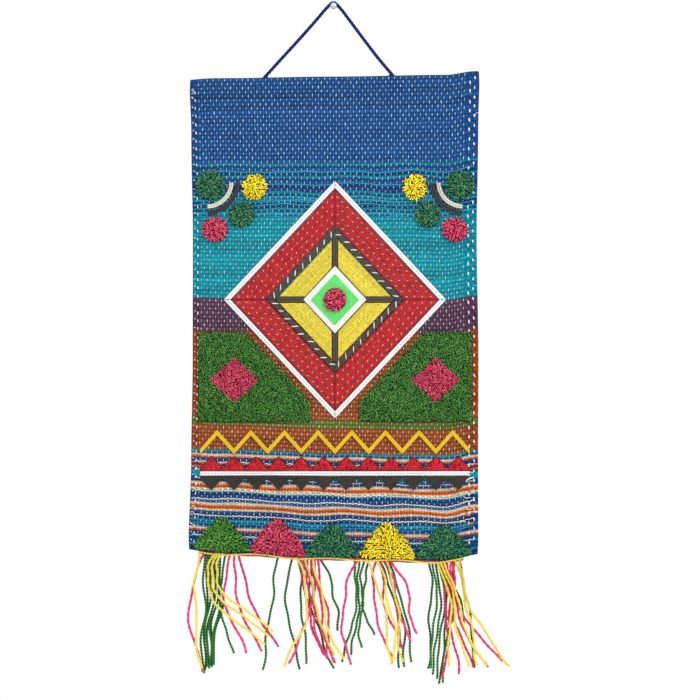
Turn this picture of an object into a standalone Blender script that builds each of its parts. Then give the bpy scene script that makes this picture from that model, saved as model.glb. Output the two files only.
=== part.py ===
"""A woven jute wall hanging on a cord over a wall screw.

The cloth hangs by a doubled cord from one screw. Braids, laid yarn, felt and
cut pile are sewn on its front, and yarn ends hang from its lower edge.

Metres, +Z up. The origin is on the screw's axis at the wall. The wall is the
plane Y = 0 and the front of the hanging faces -Y, so the word "out" below
means the distance in front of the wall.
"""

import math
import random
from collections import namedtuple

import bmesh
import bpy

MM = 0.001
GAP = 0.3 * MM
LAY_GAP = 0.45 * MM

# Cloth
CLOTH_MID_X = 1.6 * MM
CLOTH_HALF_WIDTH = 152.0 * MM
CLOTH_TOP = -73.5 * MM
CLOTH_HEIGHT = 512.0 * MM
CLOTH_THICKNESS = 2.4 * MM
HEM_DEPTH = 24.0 * MM
HEM_THICKNESS = 4.6 * MM
CORNER_CUT = 0.9 * MM
COLUMNS = 15
ROWS = 26

# How the cloth stands off the wall
FRONT_OUT = 5.6 * MM
WAVE = 1.3 * MM
BOTTOM_LIFT = 2.6 * MM
LEFT_CORNER_LIFT = 3.2 * MM
RIGHT_CORNER_CURL = 2.6 * MM

# Side edges: how far each stands out from the mean edge, down the cloth
SideEdge = namedtuple("SideEdge", "depth left right")
SIDE_EDGES = (
    SideEdge(0.00, 2.7 * MM, 1.8 * MM),
    SideEdge(0.12, 0.8 * MM, 0.4 * MM),
    SideEdge(0.34, -0.9 * MM, -1.2 * MM),
    SideEdge(0.60, -0.8 * MM, 0.6 * MM),
    SideEdge(0.80, 0.6 * MM, 0.2 * MM),
    SideEdge(1.00, 3.4 * MM, 0.4 * MM),
)

# Top and bottom edges: how far each stands up or down, across the cloth
FlatEdge = namedtuple("FlatEdge", "across up down")
FLAT_EDGES = (
    FlatEdge(0.00, -3.7 * MM, -7.5 * MM),
    FlatEdge(0.10, -2.8 * MM, -5.0 * MM),
    FlatEdge(0.50, -1.0 * MM, 0.6 * MM),
    FlatEdge(0.88, 0.7 * MM, 3.8 * MM),
    FlatEdge(1.00, 5.2 * MM, -2.0 * MM),
)

# Screw and cord
SHANK_RADIUS = 1.9 * MM
SHANK_LENGTH = 9.0 * MM
HEAD_RADIUS = 3.6 * MM
HEAD_HEIGHT = 2.2 * MM
CROSS_WIDTH = 0.9 * MM
CROSS_LENGTH = 4.2 * MM
CROSS_DEPTH = 0.8 * MM
CROSS_TURN = 0.35
CORD_RADIUS = 1.6 * MM
CORD_POINTS = 46

# The cord's route, from the left end over the screw to the right end
RoutePoint = namedtuple("RoutePoint", "x out z")
CORD_ROUTE = (
    RoutePoint(-72.0 * MM, 3.9 * MM, -73.9 * MM),
    RoutePoint(-55.0 * MM, 4.0 * MM, -55.2 * MM),
    RoutePoint(-37.0 * MM, 4.4 * MM, -35.6 * MM),
    RoutePoint(-19.0 * MM, 5.0 * MM, -15.4 * MM),
    RoutePoint(-7.6 * MM, 5.4 * MM, -2.2 * MM),
    RoutePoint(0.0 * MM, 5.5 * MM, 3.9 * MM),
    RoutePoint(7.4 * MM, 5.4 * MM, -2.2 * MM),
    RoutePoint(17.0 * MM, 5.0 * MM, -14.6 * MM),
    RoutePoint(32.0 * MM, 4.4 * MM, -34.6 * MM),
    RoutePoint(47.5 * MM, 4.0 * MM, -54.8 * MM),
    RoutePoint(61.5 * MM, 3.9 * MM, -71.3 * MM),
)

# Medallion: rings given as shares of its full size
MEDALLION_Z = -312.0 * MM
MEDALLION_HALF_WIDTH = 118.0 * MM
MEDALLION_HALF_HEIGHT = 126.0 * MM
WHITE_RING = (1.000, 0.936)
RED_RING = (0.928, 0.620)
CHARCOAL_RING = (0.612, 0.542)
YELLOW_LIMIT = 0.534
FELT_RING = 0.285
FELT_CENTRE = 0.215
BAR_HALF_WIDTH = 3.0 * MM
MITRE_GAP = 0.25 * MM
FELT_CLEARANCE = 0.008
BUTTON_HALF_WIDTH = 12.0 * MM
BUTTON_HALF_HEIGHT = 12.5 * MM
BUTTON_CELL = 6.5 * MM

BRAID_THICKNESS = 1.8 * MM
PANEL_THICKNESS = 1.5 * MM
FELT_THICKNESS = 1.2 * MM
PILE_HEIGHT = 8.0 * MM
PILE_RIM_HEIGHT = 2.4 * MM
PILE_RIM_WIDTH = 13.0 * MM
PILE_LUMP = 0.7 * MM
PILE_LUMP_PITCH = 17.0 * MM
TUFT_HEIGHT = 6.5 * MM
TUFT_RIM_WIDTH = 8.5 * MM
DRAPE_CELL = 17.0 * MM
PILE_CELL = 10.5 * MM
FIELD_CELL = 12.5 * MM

# Corner fans beside the medallion's upper sides
FAN_CENTRE_X = 136.0 * MM
FAN_CENTRE_Z = -187.0 * MM
FAN_ROSETTE_RADIUS = 15.5 * MM
FAN_ROSETTE_IN = 3.5 * MM
FAN_CREAM_RADIUS = 26.0 * MM
FAN_CHARCOAL_RADIUS = 32.5 * MM
FAN_TUFT_RADIUS = 51.0 * MM
FAN_CORD_WIDTH = 4.4 * MM
FAN_CORD_THICKNESS = 2.6 * MM
FAN_START = math.radians(182.0)
FAN_SWEEP = math.radians(86.0)
FAN_TUFT_LENGTH = 13.0 * MM
FAN_TUFT_WIDTH = 14.0 * MM
FAN_TUFT_FIRST = 0.05
FAN_TUFT_STEP = 0.43
FAN_TUFTS = ("fan_tuft_yellow", "fan_tuft_green", "fan_tuft_magenta")

# Pile fields beside the medallion's lower sides
FIELD_OUTER_X = 145.0 * MM
FIELD_TOP_Z = -346.0 * MM
FIELD_BOTTOM_Z = -441.0 * MM
FIELD_INNER_X = 26.0 * MM
FIELD_SIDE_GAP = 7.0 * MM

# Borders under the medallion
BORDER_HALF_WIDTH = 143.0 * MM
ZIGZAG_TOP_Z = -450.0 * MM
ZIGZAG_BOTTOM_Z = -470.0 * MM
ZIGZAG_TURNS = 16
ZIGZAG_DROP = 6.5 * MM
RAIL_WIDTH = 5.0 * MM
RAIL_Z = -496.5 * MM
SAWTEETH = 12
SAWTOOTH_HEIGHT = 15.0 * MM
SAWTOOTH_FOOT = 2.4 * MM

# Pile mounds along the lower edge, from left to right
Mound = namedtuple("Mound", "name centre half_width height")
MOUNDS = (
    Mound("mound_green", -118.0 * MM, 29.0 * MM, 37.0 * MM),
    Mound("mound_magenta", -59.0 * MM, 28.5 * MM, 39.0 * MM),
    Mound("mound_dark_green", -1.0 * MM, 28.0 * MM, 36.0 * MM),
    Mound("mound_yellow", 57.0 * MM, 28.5 * MM, 39.0 * MM),
    Mound("mound_deep_green", 116.5 * MM, 29.5 * MM, 37.0 * MM),
)
MOUND_FOOT = 1.2 * MM
MOUND_SHOULDER = 0.16
MOUND_POINT = 1.35
MOUND_SHAPE_POINTS = 14

# Fringe: one row for each colour of each bunch, ends and lengths from left to right
FringeRow = namedtuple(
    "FringeRow",
    "colour strands root_left root_right tip_left tip_right bow_left bow_right long_left long_right",
)
FRINGE = (
    FringeRow("magenta", 1, -136, -136, -140, -140, -15, -15, 128, 128),
    FringeRow("yellow", 1, -141, -141, -141, -141, -5, -5, 124, 124),
    FringeRow("green", 8, -136, -121, -139, -129, -1, 3, 127, 119),
    FringeRow("green", 1, -114, -114, -108, -108, -7, -7, 108, 108),
    FringeRow("yellow", 3, -124, -118, -72, -62, -20, -16, 98, 80),
    FringeRow("magenta", 3, -109, -101, -94, -60, -9, 1, 105, 101),
    FringeRow("green", 1, -59, -59, -76, -76, -3, -3, 120, 120),
    FringeRow("yellow", 1, -40, -40, -51, -51, 15, 15, 114, 114),
    FringeRow("magenta", 1, -37, -37, -48, -48, 16, 16, 115, 115),
    FringeRow("green", 2, -43, -38, -36, -30, -8, 3, 118, 112),
    FringeRow("yellow", 2, -31, -22, -1, 9, 4, 2, 103, 108),
    FringeRow("magenta", 5, -31, -17, -11, 1, -3, 3, 106, 111),
    FringeRow("green", 2, -22, -15, 1, 6, -7, 9, 120, 76),
    FringeRow("green", 4, 22, 39, 10, 41, 4, -8, 112, 82),
    FringeRow("magenta", 1, 27, 27, 16, 16, -14, -14, 109, 109),
    FringeRow("magenta", 4, 46, 59, 64, 87, -8, 12, 104, 79),
    FringeRow("yellow", 3, 35, 56, 61, 72, 11, 7, 113, 108),
    FringeRow("green", 3, 48, 57, 71, 84, 12, 10, 116, 108),
    FringeRow("green", 6, 101, 118, 99, 114, 4, 8, 113, 133),
    FringeRow("green", 2, 127, 134, 142, 152, 0, 4, 76, 116),
    FringeRow("magenta", 5, 111, 130, 116, 178, 9, -9, 123, 109),
    FringeRow("yellow", 3, 109, 117, 122, 160, 11, 5, 111, 113),
    FringeRow("yellow", 2, 129, 134, 154, 188, 6, -3, 112, 114),
)

# Each colour hangs in a layer of its own, from a strip of its own
FringeLayer = namedtuple("FringeLayer", "colour layer strip_height rgb")
FRINGE_LAYERS = (
    FringeLayer("green", -1, 3.4 * MM, (0.05, 0.24, 0.04)),
    FringeLayer("magenta", 0, 2.7 * MM, (0.62, 0.03, 0.15)),
    FringeLayer("yellow", 1, 1.9 * MM, (0.78, 0.66, 0.12)),
)
FRINGE_STRIP_THICKNESS = 2.0 * MM
FRINGE_STRIP_LEFT = -143.0 * MM
FRINGE_STRIP_RIGHT = 138.0 * MM
FRINGE_LAYER_PITCH = 2.35 * MM
FRINGE_SPREAD_PITCH = 5.4 * MM
STRAND_RADIUS = 1.2 * MM
STRAND_POINTS = 10
STRAND_SWAY = 1.6 * MM
STRAND_FORWARD = 1.9 * MM
STRAND_TWISTS = 1.4
ROOT_DEPTH = 0.9 * MM
SPREAD_DONE = 0.35
STRAND_SEED = 7


def clear_scene():
    """Remove what the file opened with."""
    for thing in list(bpy.data.objects):
        bpy.data.objects.remove(thing, do_unlink=True)


def new_collection(name):
    """A collection linked to the scene."""
    collection = bpy.data.collections.new(name)
    bpy.context.scene.collection.children.link(collection)
    return collection


def finish_material(name, rgb, roughness=0.85, metallic=0.0):
    """One Principled material."""
    material = bpy.data.materials.new(name)
    material.use_nodes = True
    shader = material.node_tree.nodes["Principled BSDF"]
    shader.inputs["Base Color"].default_value = (*rgb, 1.0)
    shader.inputs["Roughness"].default_value = roughness
    shader.inputs["Metallic"].default_value = metallic
    return material


def smooth_step(value):
    """Rise from 0 to 1 with level ends."""
    value = min(1.0, max(0.0, value))
    return value * value * (3.0 - 2.0 * value)


def along_table(rows, key, column, at):
    """Read a column of a table at a key, eased between its rows."""
    for low, high in zip(rows, rows[1:]):
        start = getattr(low, key)
        end = getattr(high, key)
        if at <= end:
            share = smooth_step((at - start) / (end - start))
            return getattr(low, column) * (1.0 - share) + getattr(high, column) * share
    return getattr(rows[-1], column)


def cloth_point(across, down):
    """X and Z of the cloth at shares of its width and height, its corners cut a little."""
    left = CLOTH_MID_X - CLOTH_HALF_WIDTH - along_table(SIDE_EDGES, "depth", "left", down)
    right = CLOTH_MID_X + CLOTH_HALF_WIDTH + along_table(SIDE_EDGES, "depth", "right", down)
    top = CLOTH_TOP + along_table(FLAT_EDGES, "across", "up", across)
    bottom = CLOTH_TOP - CLOTH_HEIGHT - along_table(FLAT_EDGES, "across", "down", across)
    x = left + (right - left) * across
    z = top + (bottom - top) * down
    if across in (0.0, 1.0) and down in (0.0, 1.0):
        x += CORNER_CUT * (1.0 - 2.0 * across)
        z -= CORNER_CUT * (1.0 - 2.0 * down)
    return x, z


def bottom_edge():
    """The cloth's lower edge, as X and Z of its columns."""
    return [cloth_point(column / COLUMNS, 1.0) for column in range(COLUMNS + 1)]


def cloth_bottom(x):
    """Z of the cloth's lower edge, straight between its columns."""
    edge = bottom_edge()
    for (x0, z0), (x1, z1) in zip(edge, edge[1:]):
        if x <= x1:
            return z0 + (z1 - z0) * max(0.0, (x - x0) / (x1 - x0))
    return edge[-1][1]


def front_out(x, z):
    """How far the cloth's front stands off the wall: soft waves and lifted corners."""
    side = (x - CLOTH_MID_X) / CLOTH_HALF_WIDTH
    down = min(1.15, max(0.0, (CLOTH_TOP - z) / CLOTH_HEIGHT))
    wave = 1.0 - math.cos(math.pi * (1.5 * side + 0.6 * down) + 0.9)
    out = FRONT_OUT + WAVE * wave * (0.25 + 0.75 * down)
    out += BOTTOM_LIFT * down ** 3
    out += LEFT_CORNER_LIFT * down ** 3 * (0.5 - 0.5 * side) ** 2
    out += RIGHT_CORNER_CURL * (1.0 - down) ** 10 * max(0.0, side) ** 6
    return out


def cloth_thickness(z):
    """Two layers in the hem at the top, one below it."""
    share = smooth_step((CLOTH_TOP - HEM_DEPTH - z) / (6.0 * MM))
    return HEM_THICKNESS * (1.0 - share) + CLOTH_THICKNESS * share


def lay_on(layer_out):
    """Base surface in front of the cloth for a piece that starts at a layer's depth."""
    def base(x, z):
        return front_out(x, z) + LAY_GAP + layer_out
    return base


def same_thickness(thickness):
    """An even thickness."""
    return lambda x, z: thickness


def distance_to_outline(outline, x, z):
    """Shortest distance from a point to a closed outline."""
    best = math.inf
    for (x0, z0), (x1, z1) in zip(outline, outline[1:] + outline[:1]):
        run_x = x1 - x0
        run_z = z1 - z0
        length = run_x * run_x + run_z * run_z
        share = ((x - x0) * run_x + (z - z0) * run_z) / length
        share = min(1.0, max(0.0, share))
        best = min(best, math.hypot(x - x0 - share * run_x, z - z0 - share * run_z))
    return best


def pile_thickness(outline, height=PILE_HEIGHT, rim_width=PILE_RIM_WIDTH):
    """Cut pile: low at its rim, domed inside it, with soft lumps."""
    def thickness(x, z):
        inside = min(1.0, distance_to_outline(outline, x, z) / rim_width)
        dome = math.sqrt(inside * (2.0 - inside))
        lump = math.sin(x / PILE_LUMP_PITCH * math.tau) * math.sin(z / PILE_LUMP_PITCH * math.tau + 1.0)
        return PILE_RIM_HEIGHT + (height - PILE_RIM_HEIGHT) * dome + PILE_LUMP * lump * dome
    return thickness


def turns_left(outline):
    """Whether an outline runs round to the left."""
    pairs = zip(outline, outline[1:] + outline[:1])
    return sum(x0 * z1 - x1 * z0 for (x0, z0), (x1, z1) in pairs) > 0.0


def flat_outline_mesh(name, outline):
    """A filled flat outline, as one face."""
    if not turns_left(outline):
        outline = outline[::-1]
    curve = bpy.data.curves.new(name + "_outline", "CURVE")
    curve.dimensions = "2D"
    curve.fill_mode = "BOTH"
    spline = curve.splines.new("POLY")
    spline.points.add(len(outline) - 1)
    for point, (x, z) in zip(spline.points, outline):
        point.co = (x, z, 0.0, 1.0)
    spline.use_cyclic_u = True
    guide = bpy.data.objects.new(name + "_outline", curve)
    bpy.context.scene.collection.objects.link(guide)
    depsgraph = bpy.context.evaluated_depsgraph_get()
    flat = bmesh.new()
    flat.from_mesh(guide.evaluated_get(depsgraph).to_mesh())
    bpy.data.objects.remove(guide, do_unlink=True)
    bmesh.ops.remove_doubles(flat, verts=flat.verts, dist=0.01 * MM)
    bmesh.ops.dissolve_faces(flat, faces=flat.faces[:])
    return flat


def cut_into_cells(flat, cell):
    """Cut a flat mesh along a square grid so that it can follow the cloth."""
    for axis in (0, 1):
        low = min(vert.co[axis] for vert in flat.verts)
        high = max(vert.co[axis] for vert in flat.verts)
        cuts = max(1, math.ceil((high - low) / cell))
        normal = (1.0, 0.0, 0.0) if axis == 0 else (0.0, 1.0, 0.0)
        for cut in range(1, cuts):
            place = low + (high - low) * cut / cuts
            bmesh.ops.bisect_plane(
                flat,
                geom=flat.verts[:] + flat.edges[:] + flat.faces[:],
                dist=0.02 * MM,
                plane_co=(place, place, 0.0),
                plane_no=normal,
            )


def give_depth(flat, base, thickness):
    """Turn a flat mesh in X and Z into a closed sheet between base and base + thickness."""
    for face in flat.faces:
        if face.normal.z > 0.0:
            face.normal_flip()
    grown = bmesh.ops.extrude_face_region(flat, geom=flat.faces[:])
    front = {item for item in grown["geom"] if isinstance(item, bmesh.types.BMVert)}
    for vert in flat.verts:
        x = vert.co.x
        z = vert.co.y
        out = base(x, z)
        if vert in front:
            out += thickness(x, z)
        vert.co = (x, -out, z)
    bmesh.ops.triangulate(flat, faces=flat.faces[:])
    bmesh.ops.recalc_face_normals(flat, faces=flat.faces[:])


def add_mesh_object(name, mesh_data, collection, material):
    """Put a bmesh into a named object."""
    mesh = bpy.data.meshes.new(name)
    mesh_data.to_mesh(mesh)
    mesh_data.free()
    mesh.materials.append(material)
    thing = bpy.data.objects.new(name, mesh)
    collection.objects.link(thing)
    return thing


def laid_piece(name, outline, collection, material, thickness, layer_out=0.0, cell=DRAPE_CELL):
    """A piece cut from flat stuff and laid on the cloth's waves."""
    flat = flat_outline_mesh(name, outline)
    cut_into_cells(flat, cell)
    give_depth(flat, lay_on(layer_out), thickness)
    return add_mesh_object(name, flat, collection, material)


def build_cloth(collection, material):
    """The woven cloth: one sheet with its top hem turned to the back."""
    sheet = bmesh.new()
    bmesh.ops.create_grid(sheet, x_segments=COLUMNS, y_segments=ROWS, size=0.5)
    for vert in sheet.verts:
        vert.co = (*cloth_point(vert.co.x + 0.5, 0.5 - vert.co.y), 0.0)

    def back(x, z):
        return front_out(x, z) - cloth_thickness(z)

    def depth(x, z):
        return cloth_thickness(z)

    give_depth(sheet, back, depth)
    return add_mesh_object("cloth", sheet, collection, material)


def build_screw(collection, cutters, material):
    """A pan-headed screw with a cross recess, its shank ending at the wall."""
    profile = (
        (0.0, 0.0),
        (SHANK_RADIUS, 0.0),
        (SHANK_RADIUS, SHANK_LENGTH),
        (HEAD_RADIUS, SHANK_LENGTH),
        (HEAD_RADIUS, SHANK_LENGTH + 0.45 * HEAD_HEIGHT),
        (0.78 * HEAD_RADIUS, SHANK_LENGTH + 0.85 * HEAD_HEIGHT),
        (0.0, SHANK_LENGTH + HEAD_HEIGHT),
    )
    turned = bmesh.new()
    verts = [turned.verts.new((radius, -out, 0.0)) for radius, out in profile]
    edges = [turned.edges.new(pair) for pair in zip(verts, verts[1:])]
    bmesh.ops.spin(
        turned,
        geom=verts + edges,
        cent=(0.0, 0.0, 0.0),
        axis=(0.0, 1.0, 0.0),
        angle=math.tau,
        steps=16,
        use_merge=True,
    )
    bmesh.ops.remove_doubles(turned, verts=turned.verts[:], dist=0.001 * MM)
    bmesh.ops.recalc_face_normals(turned, faces=turned.faces[:])
    screw = add_mesh_object("wall_screw", turned, collection, material)
    for turn in (0.0, math.pi / 2.0):
        slot = bmesh.new()
        bmesh.ops.create_cube(slot, size=1.0)
        cutter = add_mesh_object("recess_cutter", slot, cutters, material)
        cutter.scale = (CROSS_LENGTH, 2.0 * CROSS_DEPTH, CROSS_WIDTH)
        cutter.location = (0.0, -SHANK_LENGTH - HEAD_HEIGHT, 0.0)
        cutter.rotation_euler = (0.0, turn + CROSS_TURN, 0.0)
        cutter.hide_render = True
        cutter.display_type = "WIRE"
        cut = screw.modifiers.new("recess", "BOOLEAN")
        cut.operation = "DIFFERENCE"
        cut.object = cutter
    return screw


def smooth_route(route, count):
    """Points along a Catmull-Rom curve through a route's own points."""
    ends = [route[0]] + list(route) + [route[-1]]
    spans = len(route) - 1
    points = []
    for step in range(count):
        place = step / (count - 1) * spans
        span = min(int(place), spans - 1)
        share = place - span
        before, start, end, after = ends[span:span + 4]
        point = []
        for b, s, e, a in zip(before, start, end, after):
            cubic = (3.0 * s - b - 3.0 * e + a) * share ** 3
            square = (2.0 * b - 5.0 * s + 4.0 * e - a) * share ** 2
            point.append(0.5 * (2.0 * s + (e - b) * share + square + cubic))
        points.append((point[0], -point[1], point[2]))
    return points


def tube_curve(name, paths, radius, resolution):
    """Round tubes along open paths, with filled ends."""
    curve = bpy.data.curves.new(name, "CURVE")
    curve.dimensions = "3D"
    curve.twist_mode = "MINIMUM"
    curve.bevel_depth = radius
    curve.bevel_resolution = resolution
    curve.use_fill_caps = True
    for path in paths:
        spline = curve.splines.new("POLY")
        spline.points.add(len(path) - 1)
        for point, place in zip(spline.points, path):
            point.co = (*place, 1.0)
    return curve


def build_cord(collection, material):
    """The hanging cord, from hem to hem over the screw."""
    curve = tube_curve("hanging_cord", [smooth_route(CORD_ROUTE, CORD_POINTS)], CORD_RADIUS, 2)
    curve.materials.append(material)
    cord = bpy.data.objects.new("hanging_cord", curve)
    collection.objects.link(cord)
    return cord


def ring_outline(side_x, side_z, outer, inner):
    """One mitred side of a lozenge ring, in the quarter that the signs name."""
    corners = (
        (0.0, MEDALLION_HALF_HEIGHT * outer),
        (MEDALLION_HALF_WIDTH * outer, 0.0),
        (MEDALLION_HALF_WIDTH * inner, 0.0),
        (0.0, MEDALLION_HALF_HEIGHT * inner),
    )
    return [place_in_quarter(x, z, side_x, side_z, MITRE_GAP) for x, z in corners]


def place_in_quarter(x, z, side_x, side_z, clear=0.0):
    """Move a point of the upper right quarter to another quarter of the medallion."""
    return CLOTH_MID_X + side_x * (x + clear), MEDALLION_Z + side_z * (z + clear)


def build_medallion(collection, finishes):
    """Lozenge of braids and laid yarn in four quarters round a felt centre."""
    quarters = (
        ("upper_right", 1, 1),
        ("lower_right", 1, -1),
        ("lower_left", -1, -1),
        ("upper_left", -1, 1),
    )
    rings = (
        ("white_braid", WHITE_RING, "white", BRAID_THICKNESS),
        ("red_panel", RED_RING, "red", PANEL_THICKNESS),
        ("charcoal_braid", CHARCOAL_RING, "charcoal", BRAID_THICKNESS),
    )
    for quarter, side_x, side_z in quarters:
        for name, (outer, inner), finish, thickness in rings:
            outline = ring_outline(side_x, side_z, outer, inner)
            laid_piece(f"{name}_{quarter}", outline, collection, finishes[finish], same_thickness(thickness))
        build_yellow_panel(quarter, side_x, side_z, collection, finishes["yellow"])
    build_bars(collection, finishes["charcoal"])
    build_centre(collection, finishes)


def build_yellow_panel(quarter, side_x, side_z, collection, material):
    """Laid yarn between two bars, cut back round the felt centre."""
    clear = BAR_HALF_WIDTH + LAY_GAP
    wide = MEDALLION_HALF_WIDTH * YELLOW_LIMIT
    high = MEDALLION_HALF_HEIGHT * YELLOW_LIMIT
    inner = FELT_RING + FELT_CLEARANCE
    corners = (
        (clear, high * (1.0 - clear / wide)),
        (wide * (1.0 - clear / high), clear),
        (MEDALLION_HALF_WIDTH * inner - clear, clear),
        (clear, MEDALLION_HALF_HEIGHT * inner - clear),
    )
    outline = [place_in_quarter(x, z, side_x, side_z) for x, z in corners]
    laid_piece(f"yellow_panel_{quarter}", outline, collection, material, same_thickness(PANEL_THICKNESS))


def build_bars(collection, material):
    """Four braid bars from the felt centre to the inner ring."""
    half = BAR_HALF_WIDTH
    arms = (
        ("top", 0, 1, MEDALLION_HALF_HEIGHT, MEDALLION_HALF_WIDTH),
        ("right", 1, 0, MEDALLION_HALF_WIDTH, MEDALLION_HALF_HEIGHT),
        ("bottom", 0, -1, MEDALLION_HALF_HEIGHT, MEDALLION_HALF_WIDTH),
        ("left", -1, 0, MEDALLION_HALF_WIDTH, MEDALLION_HALF_HEIGHT),
    )
    for name, way_x, way_z, reach, cross_reach in arms:
        lean = half * reach / cross_reach
        near = reach * (FELT_RING + FELT_CLEARANCE)
        far = reach * YELLOW_LIMIT
        profile = (
            (near, 0.0),
            (near - lean, half),
            (far - lean, half),
            (far, 0.0),
            (far - lean, -half),
            (near - lean, -half),
        )
        outline = []
        for along, side in profile:
            x = CLOTH_MID_X + way_x * along + way_z * side
            z = MEDALLION_Z + way_z * along - way_x * side
            outline.append((x, z))
        laid_piece(f"bar_{name}", outline, collection, material, same_thickness(BRAID_THICKNESS))


def lozenge(share):
    """A whole lozenge at a share of the medallion's size."""
    wide = MEDALLION_HALF_WIDTH * share
    high = MEDALLION_HALF_HEIGHT * share
    return [
        (CLOTH_MID_X, MEDALLION_Z + high),
        (CLOTH_MID_X + wide, MEDALLION_Z),
        (CLOTH_MID_X, MEDALLION_Z - high),
        (CLOTH_MID_X - wide, MEDALLION_Z),
    ]


def build_centre(collection, finishes):
    """White felt, green felt on it and a magenta pile button on top."""
    felt = same_thickness(FELT_THICKNESS)
    laid_piece("centre_white_felt", lozenge(FELT_RING), collection, finishes["white"], felt)
    step = FELT_THICKNESS + GAP
    laid_piece("centre_green_felt", lozenge(FELT_CENTRE), collection, finishes["bright_green"], felt, step)
    button = oval(CLOTH_MID_X, MEDALLION_Z, BUTTON_HALF_WIDTH, BUTTON_HALF_HEIGHT, 0.0)
    pile = pile_thickness(button, TUFT_HEIGHT, TUFT_RIM_WIDTH)
    laid_piece("centre_button", button, collection, finishes["magenta"], pile, 2.0 * step, BUTTON_CELL)


def oval(x, z, half_length, half_width, turn, points=14):
    """A turned oval outline."""
    outline = []
    for step in range(points):
        angle = math.tau * step / points
        along = half_length * math.cos(angle)
        aside = half_width * math.sin(angle)
        outline.append((
            x + along * math.cos(turn) - aside * math.sin(turn),
            z + along * math.sin(turn) + aside * math.cos(turn),
        ))
    return outline


def arc_strip(x, z, radius, width, start, sweep, points=9):
    """A strip that follows an arc."""
    outer = []
    inner = []
    for step in range(points):
        angle = start + sweep * step / (points - 1)
        for row, reach in ((outer, radius + 0.5 * width), (inner, radius - 0.5 * width)):
            row.append((x + reach * math.cos(angle), z + reach * math.sin(angle)))
    return outer + inner[::-1]


def mirrored(outline):
    """The same outline on the other side of the cloth's middle."""
    return [(2.0 * CLOTH_MID_X - x, z) for x, z in reversed(outline)]


def build_fans(collection, finishes):
    """A fan in each upper corner: pile rosette, two couched cords and three tufts."""
    x = CLOTH_MID_X + FAN_CENTRE_X
    z = FAN_CENTRE_Z
    for side in ("right", "left"):
        place = list if side == "right" else mirrored
        centre = (x - FAN_ROSETTE_IN, z - FAN_ROSETTE_IN)
        rosette = place(oval(*centre, FAN_ROSETTE_RADIUS, FAN_ROSETTE_RADIUS, 0.0))
        pile = pile_thickness(rosette, TUFT_HEIGHT, TUFT_RIM_WIDTH)
        laid_piece(f"fan_rosette_{side}", rosette, collection, finishes["deep_green"], pile, cell=PILE_CELL)
        for name, radius, finish in (
            ("fan_cream_cord", FAN_CREAM_RADIUS, "cream"),
            ("fan_charcoal_cord", FAN_CHARCOAL_RADIUS, "charcoal"),
        ):
            strip = place(arc_strip(x, z, radius, FAN_CORD_WIDTH, FAN_START, FAN_SWEEP))
            cord = same_thickness(FAN_CORD_THICKNESS)
            laid_piece(f"{name}_{side}", strip, collection, finishes[finish], cord)
        for index, name in enumerate(FAN_TUFTS):
            turn = FAN_START + FAN_SWEEP * (FAN_TUFT_FIRST + FAN_TUFT_STEP * index)
            tuft_x = x + FAN_TUFT_RADIUS * math.cos(turn)
            tuft_z = z + FAN_TUFT_RADIUS * math.sin(turn)
            tuft = place(oval(tuft_x, tuft_z, FAN_TUFT_LENGTH, FAN_TUFT_WIDTH, turn, 12))
            pile = pile_thickness(tuft, TUFT_HEIGHT, TUFT_RIM_WIDTH)
            finish = finishes[name.replace("fan_tuft_", "")]
            laid_piece(f"{name}_{side}", tuft, collection, finish, pile, cell=PILE_CELL)


def build_fields(collection, material):
    """A triangle of cut pile under each lower side of the medallion."""
    slope = MEDALLION_HALF_WIDTH / MEDALLION_HALF_HEIGHT
    clear = FIELD_SIDE_GAP * math.hypot(1.0, slope)

    def side_x(z):
        return MEDALLION_HALF_WIDTH - slope * (MEDALLION_Z - z) + clear

    corners = [
        (CLOTH_MID_X + FIELD_OUTER_X, FIELD_TOP_Z),
        (CLOTH_MID_X + FIELD_OUTER_X, FIELD_BOTTOM_Z),
        (CLOTH_MID_X + FIELD_INNER_X, FIELD_BOTTOM_Z),
        (CLOTH_MID_X + FIELD_INNER_X, MEDALLION_Z - (MEDALLION_HALF_WIDTH + clear - FIELD_INNER_X) / slope),
        (CLOTH_MID_X + side_x(FIELD_TOP_Z), FIELD_TOP_Z),
    ]
    for side, outline in (("right", corners), ("left", mirrored(corners))):
        pile = pile_thickness(outline)
        laid_piece(f"pile_field_{side}", outline, collection, material, pile, cell=FIELD_CELL)


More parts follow.
